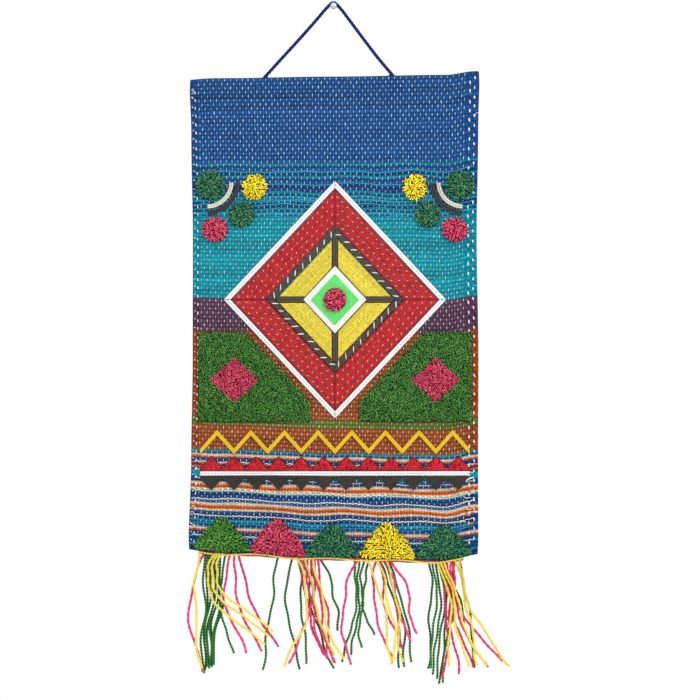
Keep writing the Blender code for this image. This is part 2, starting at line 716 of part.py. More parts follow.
def build_borders(collection, finishes):
    """Gold zigzag, and a white rail between red and black sawteeth."""
    left = CLOTH_MID_X - BORDER_HALF_WIDTH
    pitch = 2.0 * BORDER_HALF_WIDTH / ZIGZAG_TURNS
    upper = []
    lower = []
    for turn in range(ZIGZAG_TURNS + 1):
        x = left + pitch * turn
        z = ZIGZAG_TOP_Z if turn % 2 else ZIGZAG_BOTTOM_Z
        upper.append((x, z))
        lower.append((x, z - ZIGZAG_DROP))
    zigzag = upper + lower[::-1]
    laid_piece("gold_zigzag", zigzag, collection, finishes["gold"], same_thickness(BRAID_THICKNESS))

    half = 0.5 * RAIL_WIDTH
    right = CLOTH_MID_X + BORDER_HALF_WIDTH
    rail = [(left, RAIL_Z + half), (left, RAIL_Z - half), (right, RAIL_Z - half), (right, RAIL_Z + half)]
    laid_piece("white_rail", rail, collection, finishes["white"], same_thickness(BRAID_THICKNESS))

    tooth = 2.0 * BORDER_HALF_WIDTH / SAWTEETH
    foot = half + LAY_GAP
    for name, way, finish in (("red_sawteeth", 1.0, "felt_red"), ("black_sawteeth", -1.0, "black")):
        outline = [(right, RAIL_Z + way * foot), (left, RAIL_Z + way * foot)]
        outline.append((left, RAIL_Z + way * (foot + SAWTOOTH_FOOT)))
        for step in range(SAWTEETH):
            middle = left + tooth * (step + 0.5)
            outline.append((middle, RAIL_Z + way * (foot + SAWTOOTH_HEIGHT)))
            outline.append((left + tooth * (step + 1.0), RAIL_Z + way * (foot + SAWTOOTH_FOOT)))
        laid_piece(name, outline, collection, finishes[finish], same_thickness(FELT_THICKNESS))


def build_mounds(collection, finishes):
    """Five pointed mounds of cut pile along the lower edge."""
    for mound in MOUNDS:
        outline = []
        for step in range(MOUND_SHAPE_POINTS):
            share = step / (MOUND_SHAPE_POINTS - 1)
            side = 2.0 * share - 1.0
            x = mound.centre + mound.half_width * side
            rise = 1.0 - (1.0 - MOUND_SHOULDER) * abs(side) ** MOUND_POINT
            outline.append((x, cloth_bottom(x) + MOUND_FOOT + mound.height * rise))
        for side in (1.0, 0.0, -1.0):
            x = mound.centre + mound.half_width * side
            outline.append((x, cloth_bottom(x) + MOUND_FOOT))
        pile = pile_thickness(outline)
        finish = finishes[mound.name.replace("mound_", "")]
        laid_piece(mound.name, outline, collection, finish, pile, cell=PILE_CELL)


def between(low, high, share):
    """A value between two others."""
    return low + (high - low) * share


def strand_path(root_x, tip_x, bow, length, layer, row, phase):
    """One hanging strand, from inside its strip to its free tip."""
    path = []
    root_z = cloth_bottom(root_x) - GAP - ROOT_DEPTH
    root_out = front_out(root_x, root_z) - 0.5 * CLOTH_THICKNESS
    for step in range(STRAND_POINTS):
        share = step / (STRAND_POINTS - 1)
        x = between(root_x, tip_x, 0.3 * share + 0.7 * share * share)
        x += bow * math.sin(math.pi * share ** 0.8)
        x += STRAND_SWAY * math.sin(math.tau * STRAND_TWISTS * share + phase) * share * (1.0 - 0.5 * share)
        spread = smooth_step(share / SPREAD_DONE)
        pitch = between(FRINGE_LAYER_PITCH, FRINGE_SPREAD_PITCH, spread)
        out = root_out + STRAND_FORWARD * spread + layer * pitch + row * spread * 0.25 * FRINGE_SPREAD_PITCH
        path.append((x, -out, root_z - length * share))
    return path


def fringe_paths(layer):
    """All the strands of one colour."""
    rng = random.Random(STRAND_SEED + layer.layer)
    paths = []
    for row in FRINGE:
        if row.colour != layer.colour:
            continue
        for index in range(row.strands):
            share = index / max(1, row.strands - 1)
            paths.append(strand_path(
                between(row.root_left, row.root_right, share) * MM,
                between(row.tip_left, row.tip_right, share) * MM,
                between(row.bow_left, row.bow_right, share) * MM,
                between(row.long_left, row.long_right, share) * MM * rng.uniform(0.97, 1.02),
                layer.layer,
                1 - 2 * (len(paths) % 2),
                rng.uniform(0.0, math.tau),
            ))
    return paths


def build_strip(layer, collection, material):
    """The edging yarn along the lower edge that a colour's strands are knotted to."""
    stations = [x for x, z in bottom_edge() if FRINGE_STRIP_LEFT < x < FRINGE_STRIP_RIGHT]
    stations = [FRINGE_STRIP_LEFT] + stations + [FRINGE_STRIP_RIGHT]
    strip = bmesh.new()
    bmesh.ops.create_grid(strip, x_segments=len(stations) - 1, y_segments=1, size=0.5)
    for vert in strip.verts:
        x = stations[round((vert.co.x + 0.5) * (len(stations) - 1))]
        z = cloth_bottom(x) - GAP - layer.strip_height * (0.5 - vert.co.y)
        vert.co = (x, z, 0.0)

    def base(x, z):
        middle = front_out(x, z) - 0.5 * CLOTH_THICKNESS + layer.layer * FRINGE_LAYER_PITCH
        return middle - 0.5 * FRINGE_STRIP_THICKNESS

    give_depth(strip, base, same_thickness(FRINGE_STRIP_THICKNESS))
    return add_mesh_object(f"fringe_{layer.colour}", strip, collection, material)


def build_fringe(collection, cutters):
    """Three colours of yarn ends, each fused at its roots into its own strip."""
    for layer in FRINGE_LAYERS:
        material = finish_material(f"yarn_{layer.colour}", layer.rgb)
        fringe = build_strip(layer, collection, material)
        curve = tube_curve(f"strands_{layer.colour}", fringe_paths(layer), STRAND_RADIUS, 0)
        guide = bpy.data.objects.new(f"strands_{layer.colour}", curve)
        cutters.objects.link(guide)
        depsgraph = bpy.context.evaluated_depsgraph_get()
        tubes = bmesh.new()
        tubes.from_mesh(guide.evaluated_get(depsgraph).to_mesh())
        bpy.data.objects.remove(guide, do_unlink=True)
        bmesh.ops.remove_doubles(tubes, verts=tubes.verts[:], dist=0.01 * MM)
        bmesh.ops.recalc_face_normals(tubes, faces=tubes.faces[:])
        strands = add_mesh_object(f"strands_{layer.colour}", tubes, cutters, material)
        strands.hide_render = True
        strands.display_type = "WIRE"
        join = fringe.modifiers.new("strands", "BOOLEAN")
        join.operation = "UNION"
        join.use_self = True
        join.object = strands


def main():
    """Build the hanging."""
    clear_scene()
    parts = new_collection("jute_wall_hanging")
    cutters = new_collection("cutters")
    finishes = {
        "white": finish_material("braid_white", (0.86, 0.87, 0.85)),
        "red": finish_material("laid_yarn_red", (0.52, 0.02, 0.04)),
        "charcoal": finish_material("braid_charcoal", (0.06, 0.045, 0.035)),
        "yellow": finish_material("yarn_yellow_warm", (0.80, 0.60, 0.05)),
        "cream": finish_material("cord_cream", (0.78, 0.72, 0.60)),
        "gold": finish_material("braid_gold", (0.90, 0.60, 0.03)),
        "black": finish_material("felt_black", (0.03, 0.03, 0.03)),
        "felt_red": finish_material("felt_red", (0.70, 0.03, 0.05)),
        "bright_green": finish_material("felt_green", (0.12, 0.72, 0.16)),
        "magenta": finish_material("pile_magenta", (0.60, 0.03, 0.15)),
        "green": finish_material("pile_green", (0.05, 0.25, 0.05)),
        "dark_green": finish_material("pile_dark_green", (0.03, 0.16, 0.05)),
        "deep_green": finish_material("pile_deep_green", (0.02, 0.16, 0.09)),
    }
    build_cloth(parts, finish_material("woven_blue", (0.03, 0.12, 0.32), 0.9))
    build_screw(parts, cutters, finish_material("screw_steel", (0.70, 0.70, 0.72), 0.35, 1.0))
    build_cord(parts, finish_material("cord_navy", (0.02, 0.02, 0.14)))
    build_medallion(parts, finishes)
    build_fans(parts, finishes)
    build_fields(parts, finishes["green"])
    build_borders(parts, finishes)
    build_mounds(parts, finishes)
    build_fringe(parts, cutters)


main()
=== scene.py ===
"""Looks of a woven jute wall hanging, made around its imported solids.

The hanging is dressed in one pass: the woven cloth with its raised warp ends,
the sewn-on braids, laid yarn, felt and cut pile, the twisted hanging cord, the
screw and the fringe. Metres, +Z up, the wall at Y = 0 and the front facing -Y.
"Out" is the distance in front of the wall.
"""

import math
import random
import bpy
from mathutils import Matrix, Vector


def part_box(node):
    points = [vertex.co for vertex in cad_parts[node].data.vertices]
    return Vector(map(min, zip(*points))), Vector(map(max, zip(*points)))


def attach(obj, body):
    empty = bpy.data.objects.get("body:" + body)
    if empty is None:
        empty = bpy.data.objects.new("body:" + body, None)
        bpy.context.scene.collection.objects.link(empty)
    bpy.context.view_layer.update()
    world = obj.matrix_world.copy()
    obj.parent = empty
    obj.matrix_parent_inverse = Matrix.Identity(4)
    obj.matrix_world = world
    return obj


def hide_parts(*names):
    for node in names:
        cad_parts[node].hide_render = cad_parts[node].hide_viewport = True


bl_info = {
    "name": "Jute Wall Hanging",
    "version": (1, 0, 0),
    "blender": (4, 5, 0),
    "location": "3D View > Sidebar > Wall Hanging",
    "description": "Weave, braids, laid yarn, cut pile and fringe of a jute wall hanging",
    "category": "Object",
}

from collections import namedtuple

import bmesh
import bpy
import numpy as np
from bpy.props import FloatProperty, FloatVectorProperty, IntProperty, PointerProperty

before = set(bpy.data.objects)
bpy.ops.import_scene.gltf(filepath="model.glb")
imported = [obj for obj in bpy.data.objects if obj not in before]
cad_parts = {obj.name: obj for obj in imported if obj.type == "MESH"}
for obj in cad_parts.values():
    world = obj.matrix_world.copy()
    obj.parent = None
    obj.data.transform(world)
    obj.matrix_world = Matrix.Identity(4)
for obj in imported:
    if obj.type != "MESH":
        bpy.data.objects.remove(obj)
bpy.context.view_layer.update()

MM = 0.001
BODY = "root"
GAP = 0.3 * MM
LAY_GAP = 0.45 * MM


def dye(red, green, blue):
    """A colour given as it looks on a screen, 0 to 255, as the linear colour that shaders use."""
    shares = (value / 255.0 for value in (red, green, blue))
    return tuple(s / 12.92 if s <= 0.04045 else ((s + 0.055) / 1.055) ** 2.4 for s in shares)


# Cloth: the same sizes as its solid
CLOTH_MID_X = 1.6 * MM
CLOTH_HALF_WIDTH = 152.0 * MM
CLOTH_TOP = -73.5 * MM
CLOTH_HEIGHT = 512.0 * MM
CLOTH_THICKNESS = 2.4 * MM
HEM_DEPTH = 24.0 * MM
HEM_THICKNESS = 4.6 * MM
CORNER_CUT = 0.9 * MM
SOLID_COLUMNS = 15

STREAK_WIDTH = 0.95 * MM

# How the cloth stands off the wall
FRONT_OUT = 5.6 * MM
WAVE = 1.3 * MM
BOTTOM_LIFT = 2.6 * MM
LEFT_CORNER_LIFT = 3.2 * MM
RIGHT_CORNER_CURL = 2.6 * MM

SideEdge = namedtuple("SideEdge", "depth left right")
SIDE_EDGES = (
    SideEdge(0.00, 2.7 * MM, 1.8 * MM),
    SideEdge(0.12, 0.8 * MM, 0.4 * MM),
    SideEdge(0.34, -0.9 * MM, -1.2 * MM),
    SideEdge(0.60, -0.8 * MM, 0.6 * MM),
    SideEdge(0.80, 0.6 * MM, 0.2 * MM),
    SideEdge(1.00, 3.4 * MM, 0.4 * MM),
)

FlatEdge = namedtuple("FlatEdge", "across up down")
FLAT_EDGES = (
    FlatEdge(0.00, -3.7 * MM, -7.5 * MM),
    FlatEdge(0.10, -2.8 * MM, -5.0 * MM),
    FlatEdge(0.50, -1.0 * MM, 0.6 * MM),
    FlatEdge(0.88, 0.7 * MM, 3.8 * MM),
    FlatEdge(1.00, 5.2 * MM, -2.0 * MM),
)

# Weft yarns by how far down the cloth they are woven; each row holds an upper and a lower yarn
NAVY = dye(24, 52, 124)
DEEP_BLUE = dye(28, 88, 158)
TEAL = dye(2, 166, 186)
CYAN = dye(20, 186, 204)
PURPLE = dye(104, 66, 96)
RUST = dye(178, 86, 34)
OLIVE = dye(112, 128, 40)
CREAM = dye(248, 238, 206)
ORANGE = dye(240, 104, 26)
Band = namedtuple("Band", "until rows")
BANDS = (
    Band(92.0 * MM, ((DEEP_BLUE, DEEP_BLUE),)),
    Band(118.0 * MM, ((TEAL, DEEP_BLUE), (DEEP_BLUE, DEEP_BLUE), (DEEP_BLUE, NAVY))),
    Band(150.0 * MM, ((DEEP_BLUE, NAVY), (TEAL, NAVY), (CYAN, DEEP_BLUE), (TEAL, NAVY))),
    Band(238.0 * MM, ((TEAL, TEAL),)),
    Band(272.0 * MM, ((PURPLE, PURPLE),)),
    Band(366.0 * MM, ((RUST, RUST),)),
    Band(376.0 * MM, ((OLIVE, OLIVE),)),
    Band(402.0 * MM, ((RUST, RUST),)),
    Band(
        474.0 * MM,
        (
            (TEAL, NAVY), (CREAM, ORANGE), (DEEP_BLUE, NAVY), (ORANGE, NAVY), (ORANGE, NAVY), (TEAL, TEAL),
            (TEAL, DEEP_BLUE), (DEEP_BLUE, NAVY), (CREAM, ORANGE), (ORANGE, CREAM), (TEAL, NAVY),
            (DEEP_BLUE, NAVY), (DEEP_BLUE, DEEP_BLUE), (CREAM, ORANGE), (ORANGE, CREAM), (DEEP_BLUE, NAVY),
        ),
    ),
    Band(
        600.0 * MM,
        (
            (DEEP_BLUE, NAVY), (TEAL, DEEP_BLUE), (NAVY, DEEP_BLUE), (CREAM, ORANGE), (DEEP_BLUE, NAVY),
            (TEAL, NAVY),
        ),
    ),
)

# Thin yarns woven between the weft rows, over the beads of one row and under those of the next
WavyYarn = namedtuple("WavyYarn", "after_row radius colour")
WAVY_YARNS = (
    WavyYarn(23, 0.50 * MM, CYAN),
    WavyYarn(26, 0.46 * MM, CYAN),
    WavyYarn(28, 0.55 * MM, TEAL),
    WavyYarn(30, 0.52 * MM, CYAN),
    WavyYarn(31, 0.46 * MM, CYAN),
    WavyYarn(32, 0.55 * MM, TEAL),
    WavyYarn(33, 0.50 * MM, CYAN),
    WavyYarn(34, 0.46 * MM, TEAL),
    WavyYarn(94, 0.50 * MM, CREAM),
    WavyYarn(96, 0.46 * MM, CREAM),
    WavyYarn(98, 0.42 * MM, CREAM),
    WavyYarn(101, 0.46 * MM, CREAM),
    WavyYarn(103, 0.50 * MM, CREAM),
    WavyYarn(104, 0.42 * MM, CREAM),
    WavyYarn(107, 0.50 * MM, CREAM),
    WavyYarn(109, 0.42 * MM, CYAN),
    WavyYarn(112, 0.46 * MM, CREAM),
)

# Where the stripes are thin and wander
WAVY_DEPTHS = (122.0 * MM, 440.0 * MM)
WAVY_REACH = 34.0 * MM

# Sewing along the side hems, by how far across the cloth it lies
HemSeam = namedtuple("HemSeam", "across first pitch length radius lean")
HEM_SEAMS = (
    HemSeam(0.968, 0.012, 9.0 * MM, 3.7 * MM, 0.84 * MM, 0.0),
    HemSeam(0.985, 0.004, 9.0 * MM, 3.0 * MM, 0.80 * MM, 0.1),
    HemSeam(0.018, 0.020, 8.2 * MM, 3.1 * MM, 0.58 * MM, 0.0),
    HemSeam(0.008, 0.016, 8.6 * MM, 2.0 * MM, 0.40 * MM, 0.9),
)

# Ends of yarn and thread that stand off the cloth, in millimetres
WHITE_THREAD = dye(238, 242, 242)
LooseEnd = namedtuple("LooseEnd", "x z reach_x reach_z curl radius colour")
LOOSE_ENDS = (
    LooseEnd(-150.5, -88.0, 2.6, -3.4, 0.4, 0.26, WHITE_THREAD),
    LooseEnd(-151.0, -93.0, 2.8, 2.2, -0.6, 0.28, WHITE_THREAD),
    LooseEnd(-151.5, -97.0, 3.2, -2.0, 0.5, 0.28, WHITE_THREAD),
    LooseEnd(137.0, -96.5, 14.0, 4.4, 0.2, 0.22, CYAN),
    LooseEnd(151.0, -116.0, 3.4, 3.4, 0.4, 0.26, WHITE_THREAD),
    LooseEnd(141.0, -505.0, 10.0, 5.0, 0.2, 0.75, CREAM),
    LooseEnd(143.0, -513.0, 9.0, 3.0, -0.3, 0.6, ORANGE),
    LooseEnd(138.0, -521.0, 9.0, -1.4, -0.2, 0.42, CREAM),
    LooseEnd(141.0, -533.0, 6.5, -2.0, -0.3, 0.42, WHITE_THREAD),
    LooseEnd(139.0, -541.0, 7.5, -1.0, 0.2, 0.75, ORANGE),
    LooseEnd(134.0, -549.0, 8.0, 0.8, 0.3, 0.42, CREAM),
    LooseEnd(143.0, -550.0, 7.0, 1.6, -0.2, 0.75, ORANGE),
    LooseEnd(106.0, -503.0, 30.0, -20.0, 0.05, 0.3, NAVY),
    LooseEnd(-150.0, -531.0, 5.0, -3.0, 0.5, 0.3, WHITE_THREAD),
    LooseEnd(-151.0, -540.0, 4.4, 3.0, 0.8, 0.34, CREAM),
    LooseEnd(-151.5, -547.0, 4.2, -3.4, -0.5, 0.34, CREAM),
)

# Screw and cord
SHANK_RADIUS = 1.9 * MM
SHANK_LENGTH = 9.0 * MM
HEAD_RADIUS = 3.6 * MM
HEAD_HEIGHT = 2.2 * MM
RoutePoint = namedtuple("RoutePoint", "x out z")
CORD_ROUTE = (
    RoutePoint(-72.0 * MM, 3.9 * MM, -73.9 * MM),
    RoutePoint(-55.0 * MM, 4.0 * MM, -55.2 * MM),
    RoutePoint(-37.0 * MM, 4.4 * MM, -35.6 * MM),
    RoutePoint(-19.0 * MM, 5.0 * MM, -15.4 * MM),
    RoutePoint(-7.6 * MM, 5.4 * MM, -2.2 * MM),
    RoutePoint(0.0 * MM, 5.5 * MM, 3.9 * MM),
    RoutePoint(7.4 * MM, 5.4 * MM, -2.2 * MM),
    RoutePoint(17.0 * MM, 5.0 * MM, -14.6 * MM),
    RoutePoint(32.0 * MM, 4.4 * MM, -34.6 * MM),
    RoutePoint(47.5 * MM, 4.0 * MM, -54.8 * MM),
    RoutePoint(61.5 * MM, 3.9 * MM, -71.3 * MM),
)

CORD_TUCK = 4.5 * MM
CORD_SPLIT = 26

# Lozenge
MEDALLION_Z = -312.0 * MM
MEDALLION_HALF_WIDTH = 118.0 * MM
MEDALLION_HALF_HEIGHT = 126.0 * MM
WHITE_RING = (1.000, 0.936)
RED_RING = (0.928, 0.620)
CHARCOAL_RING = (0.612, 0.542)
YELLOW_LIMIT = 0.534
FELT_RING = 0.285
FELT_CLEARANCE = 0.008
BAR_HALF_WIDTH = 3.0 * MM
MITRE_GAP = 0.25 * MM
BRAID_THICKNESS = 1.8 * MM
PANEL_THICKNESS = 1.5 * MM
QUARTERS = {
    "upper_right": (1, 1),
    "lower_right": (1, -1),
    "lower_left": (-1, -1),
    "upper_left": (-1, 1),
}

# Corner fans and borders
FAN_CENTRE_X = 136.0 * MM
FAN_CENTRE_Z = -187.0 * MM
FAN_CREAM_RADIUS = 26.0 * MM
FAN_CHARCOAL_RADIUS = 32.5 * MM
FAN_CORD_RADIUS = 1.15 * MM
FAN_START = math.radians(182.0)
FAN_SWEEP = math.radians(86.0)
BORDER_HALF_WIDTH = 143.0 * MM
ZIGZAG_TOP_Z = -450.0 * MM
ZIGZAG_BOTTOM_Z = -470.0 * MM
ZIGZAG_TURNS = 16
ZIGZAG_DROP = 6.5 * MM
RAIL_WIDTH = 5.0 * MM
RAIL_Z = -496.5 * MM
SAWTEETH = 12
SAWTOOTH_HEIGHT = 15.0 * MM
SAWTOOTH_FOOT = 2.4 * MM

# Fringe: one row for each colour of each bunch, in millimetres
FringeRow = namedtuple(
    "FringeRow",
    "colour strands root_left root_right tip_left tip_right bow_left bow_right long_left long_right",
)
FRINGE = (
    FringeRow("magenta", 1, -136, -136, -140, -140, -15, -15, 128, 128),
    FringeRow("yellow", 1, -141, -141, -141, -141, -5, -5, 124, 124),
    FringeRow("green", 8, -136, -121, -139, -129, -1, 3, 127, 119),
    FringeRow("green", 1, -114, -114, -108, -108, -7, -7, 108, 108),
    FringeRow("yellow", 3, -124, -118, -72, -62, -20, -16, 98, 80),
    FringeRow("magenta", 3, -109, -101, -94, -60, -9, 1, 105, 101),
    FringeRow("green", 1, -59, -59, -76, -76, -3, -3, 120, 120),
    FringeRow("yellow", 1, -40, -40, -51, -51, 15, 15, 114, 114),
    FringeRow("magenta", 1, -37, -37, -48, -48, 16, 16, 115, 115),
    FringeRow("green", 2, -43, -38, -36, -30, -8, 3, 118, 112),
    FringeRow("yellow", 2, -31, -22, -1, 9, 4, 2, 103, 108),
    FringeRow("magenta", 5, -31, -17, -11, 1, -3, 3, 106, 111),
    FringeRow("green", 2, -22, -15, 1, 6, -7, 9, 120, 76),
    FringeRow("green", 4, 22, 39, 10, 41, 4, -8, 112, 82),
    FringeRow("magenta", 1, 27, 27, 16, 16, -14, -14, 109, 109),
    FringeRow("magenta", 4, 46, 59, 64, 87, -8, 12, 104, 79),
    FringeRow("yellow", 3, 35, 56, 61, 72, 11, 7, 113, 108),
    FringeRow("green", 3, 48, 57, 71, 84, 12, 10, 116, 108),
    FringeRow("green", 6, 101, 118, 99, 114, 4, 8, 113, 133),
    FringeRow("green", 2, 127, 134, 142, 152, 0, 4, 76, 116),
    FringeRow("magenta", 5, 111, 130, 116, 178, 9, -9, 123, 109),
    FringeRow("yellow", 3, 109, 117, 122, 160, 11, 5, 111, 113),
    FringeRow("yellow", 2, 129, 134, 154, 188, 6, -3, 112, 114),
)
FringeLayer = namedtuple("FringeLayer", "colour layer strip_height ply_radius ply_offset lay_length stations sides")
FRINGE_LAYERS = (
    FringeLayer("green", -1, 3.4 * MM, 0.80 * MM, 0.66 * MM, 6.4 * MM, 124, 5),
    FringeLayer("magenta", 0, 2.7 * MM, 1.10 * MM, 0.46 * MM, 14.0 * MM, 76, 6),
    FringeLayer("yellow", 1, 1.9 * MM, 1.04 * MM, 0.46 * MM, 13.0 * MM, 76, 6),
)
FRINGE_STRIP_LEFT = -143.0 * MM
FRINGE_STRIP_RIGHT = 138.0 * MM
EDGING_RADIUS = 0.62 * MM
EDGING_WANDER = 1.1 * MM
EDGING_WANDER_PITCH = 74.0 * MM
FRINGE_LAYER_PITCH = 2.35 * MM
FRINGE_SPREAD_PITCH = 5.4 * MM
STRAND_SWAY = 1.6 * MM
STRAND_FORWARD = 1.9 * MM
STRAND_TWISTS = 1.4
ROOT_DEPTH = 0.9 * MM
SPREAD_DONE = 0.35
STRAND_SEED = 7


# Numbers and shapes

def smooth_step(value):
    """Rise from 0 to 1 with level ends: 3v² - 2v³."""
    value = np.clip(value, 0.0, 1.0)
    return value * value * (3.0 - 2.0 * value)


def between(low, high, share):
    """A value between two others."""
    return low + (high - low) * share


def along_table(rows, key, column, at):
    """Read a column of a table at a key, eased between its rows."""
    keys = np.array([getattr(row, key) for row in rows])
    values = np.array([getattr(row, column) for row in rows])
    low = np.clip(np.searchsorted(keys, at) - 1, 0, len(rows) - 2)
    share = smooth_step((at - keys[low]) / (keys[low + 1] - keys[low]))
    return between(values[low], values[low + 1], share)


def cloth_point(across, down):
    """X and Z of the cloth at shares of its width and height, with rounded corners."""
    left = CLOTH_MID_X - CLOTH_HALF_WIDTH - along_table(SIDE_EDGES, "depth", "left", down)
    right = CLOTH_MID_X + CLOTH_HALF_WIDTH + along_table(SIDE_EDGES, "depth", "right", down)
    top = CLOTH_TOP + along_table(FLAT_EDGES, "across", "up", across)
    bottom = CLOTH_TOP - CLOTH_HEIGHT - along_table(FLAT_EDGES, "across", "down", across)
    x = between(left, right, across)
    z = between(top, bottom, down)
    side = 1.0 - np.minimum(across, 1.0 - across) * SOLID_COLUMNS
    level = 1.0 - np.minimum(down, 1.0 - down) * SOLID_COLUMNS * CLOTH_HEIGHT / (2.0 * CLOTH_HALF_WIDTH)
    cut = CORNER_CUT * np.clip(side, 0.0, 1.0) ** 2 * np.clip(level, 0.0, 1.0) ** 2
    x = x + cut * np.sign(0.5 - across)
    z = z - cut * np.sign(0.5 - down)
    return x, z


def cloth_bottom(x):
    """Z of the cloth's lower edge, straight between the columns of its solid."""
    across = np.linspace(0.0, 1.0, SOLID_COLUMNS + 1)
    edge_x, edge_z = cloth_point(across, np.ones_like(across))
    return np.interp(x, edge_x, edge_z)


def front_out(x, z):
    """How far the cloth's front stands off the wall: soft waves and lifted corners."""
    side = (x - CLOTH_MID_X) / CLOTH_HALF_WIDTH
    down = np.clip((CLOTH_TOP - z) / CLOTH_HEIGHT, 0.0, 1.15)
    wave = 1.0 - np.cos(math.pi * (1.5 * side + 0.6 * down) + 0.9)
    out = FRONT_OUT + WAVE * wave * (0.25 + 0.75 * down)
    out = out + BOTTOM_LIFT * down ** 3
    out = out + LEFT_CORNER_LIFT * down ** 3 * (0.5 - 0.5 * side) ** 2
    return out + RIGHT_CORNER_CURL * np.clip(1.0 - down, 0.0, 1.0) ** 10 * np.maximum(0.0, side) ** 6


def cloth_thickness(z):
    """Two layers in the hem at the top, one below it."""
    share = smooth_step((CLOTH_TOP - HEM_DEPTH - z) / (6.0 * MM))
    return between(HEM_THICKNESS, CLOTH_THICKNESS, share)


def ripple(x, z, pitch, seed):
    """Smooth unevenness from -1 to 1: a sum of four plane waves of about the given pitch."""
    rng = np.random.default_rng(seed)
    total = np.zeros(np.broadcast(x, z).shape)
    for _ in range(4):
        way, phase, stretch = rng.uniform(0.0, math.tau, 2).tolist() + [rng.uniform(0.7, 1.4)]
        run = (x * math.cos(way) + z * math.sin(way)) * math.tau / (pitch * stretch)
        total += np.sin(run + phase)
    return total / 4.0


ROW_PROFILE = (0.0, 0.72, 1.0, 0.72)


def weave_point(across, down):
    """X and Z of a point of the weave: the cloth's own, wandering more where the stripes are thin."""
    x, z = cloth_point(across, down)
    inside = np.minimum(1.0, 14.0 * np.minimum(np.minimum(across, 1.0 - across), np.minimum(down, 1.0 - down)))
    depth = down * CLOTH_HEIGHT
    thin = sum(np.exp(-(((depth - middle) / WAVY_REACH) ** 2)) for middle in WAVY_DEPTHS)
    shift_z = (0.5 + 1.35 * thin) * MM * ripple(x, z * 1.6, 58.0 * MM, 3)
    shift_x = 0.35 * MM * ripple(x, z, 45.0 * MM, 4)
    return x + shift_x * inside, z + shift_z * inside


class Bundle:
    """Closed shapes gathered into one mesh, with values kept for each of their points."""

    def __init__(self):
        self.points = []
        self.faces = {3: [], 4: []}
        self.values = {}
        self.count = 0

    def add(self, points, quads=None, triangles=None, **values):
        """Add a shape. Its faces are turned over if its volume comes out negative."""
        points = np.asarray(points, dtype=np.float64).reshape(-1, 3)
        parts = {4: quads, 3: triangles}
        volume = 0.0
        for corners, faces in parts.items():
            if faces is None:
                continue
            for second in range(1, corners - 1):
                a, b, c = (points[faces[:, i]] for i in (0, second, second + 1))
                volume += np.einsum("ij,ij->", a, np.cross(b, c))
        for corners, faces in parts.items():
            if faces is None:
                continue
            turned = faces[:, ::-1] if volume < 0.0 else faces
            self.faces[corners].append(turned + self.count)
        for name, value in values.items():
            full = np.broadcast_to(np.asarray(value, dtype=np.float64), (len(points),) + np.shape(value)[1:])
            self.values.setdefault(name, []).append(full)
        self.points.append(points)
        self.count += len(points)

    def build(self, name, material, sharp_angle=None):
        """Make the object. Values of width 3 become colours, of width 1 numbers; "uv" is a UV map."""
        points = np.concatenate(self.points).astype(np.float32)
        mesh = bpy.data.meshes.new(name)
        mesh.vertices.add(len(points))
        mesh.vertices.foreach_set("co", points.ravel())
        loops = []
        sizes = []
        for corners in (3, 4):
            if self.faces[corners]:
                faces = np.concatenate(self.faces[corners])
                loops.append(faces.ravel())
                sizes.append(np.full(len(faces), corners))
        loops = np.concatenate(loops).astype(np.int32)
        sizes = np.concatenate(sizes)
        mesh.loops.add(len(loops))
        mesh.polygons.add(len(sizes))
        mesh.loops.foreach_set("vertex_index", loops)
        mesh.polygons.foreach_set("loop_start", (np.cumsum(sizes) - sizes).astype(np.int32))
        mesh.update(calc_edges=True)
        for key, chunks in self.values.items():
            store_value(mesh, key, np.concatenate(chunks), loops)
        mesh.shade_smooth()
        if sharp_angle is not None:
            mesh.set_sharp_from_angle(angle=sharp_angle)
        mesh.materials.append(material)
        piece = bpy.data.objects.new(name, mesh)
        bpy.context.scene.collection.objects.link(piece)
        return piece


def store_value(mesh, name, values, loops):
    """Keep a value for each point on the mesh: a UV map, a colour or a number."""
    if name == "uv":
        layer = mesh.uv_layers.new(name="weave")
        layer.data.foreach_set("uv", values[loops].astype(np.float32).ravel())
    elif values.ndim == 2:
        colours = np.ones((len(values), 4), dtype=np.float32)
        colours[:, :3] = values
        mesh.attributes.new(name, "FLOAT_COLOR", "POINT").data.foreach_set("color", colours.ravel())
    else:
        mesh.attributes.new(name, "FLOAT", "POINT").data.foreach_set("value", values.astype(np.float32))


def path_axes(paths):
    """Tangent, sideways and outward directions at each station of paths of shape (paths, stations, 3)."""
    tangent = np.gradient(paths, axis=1)
    tangent /= np.linalg.norm(tangent, axis=2, keepdims=True) + 1e-12
    toward = np.array((0.0, -1.0, 0.0))
    sideways = np.cross(toward, tangent)
    sideways /= np.linalg.norm(sideways, axis=2, keepdims=True) + 1e-9
    outward = np.cross(tangent, sideways)
    return tangent, sideways, outward


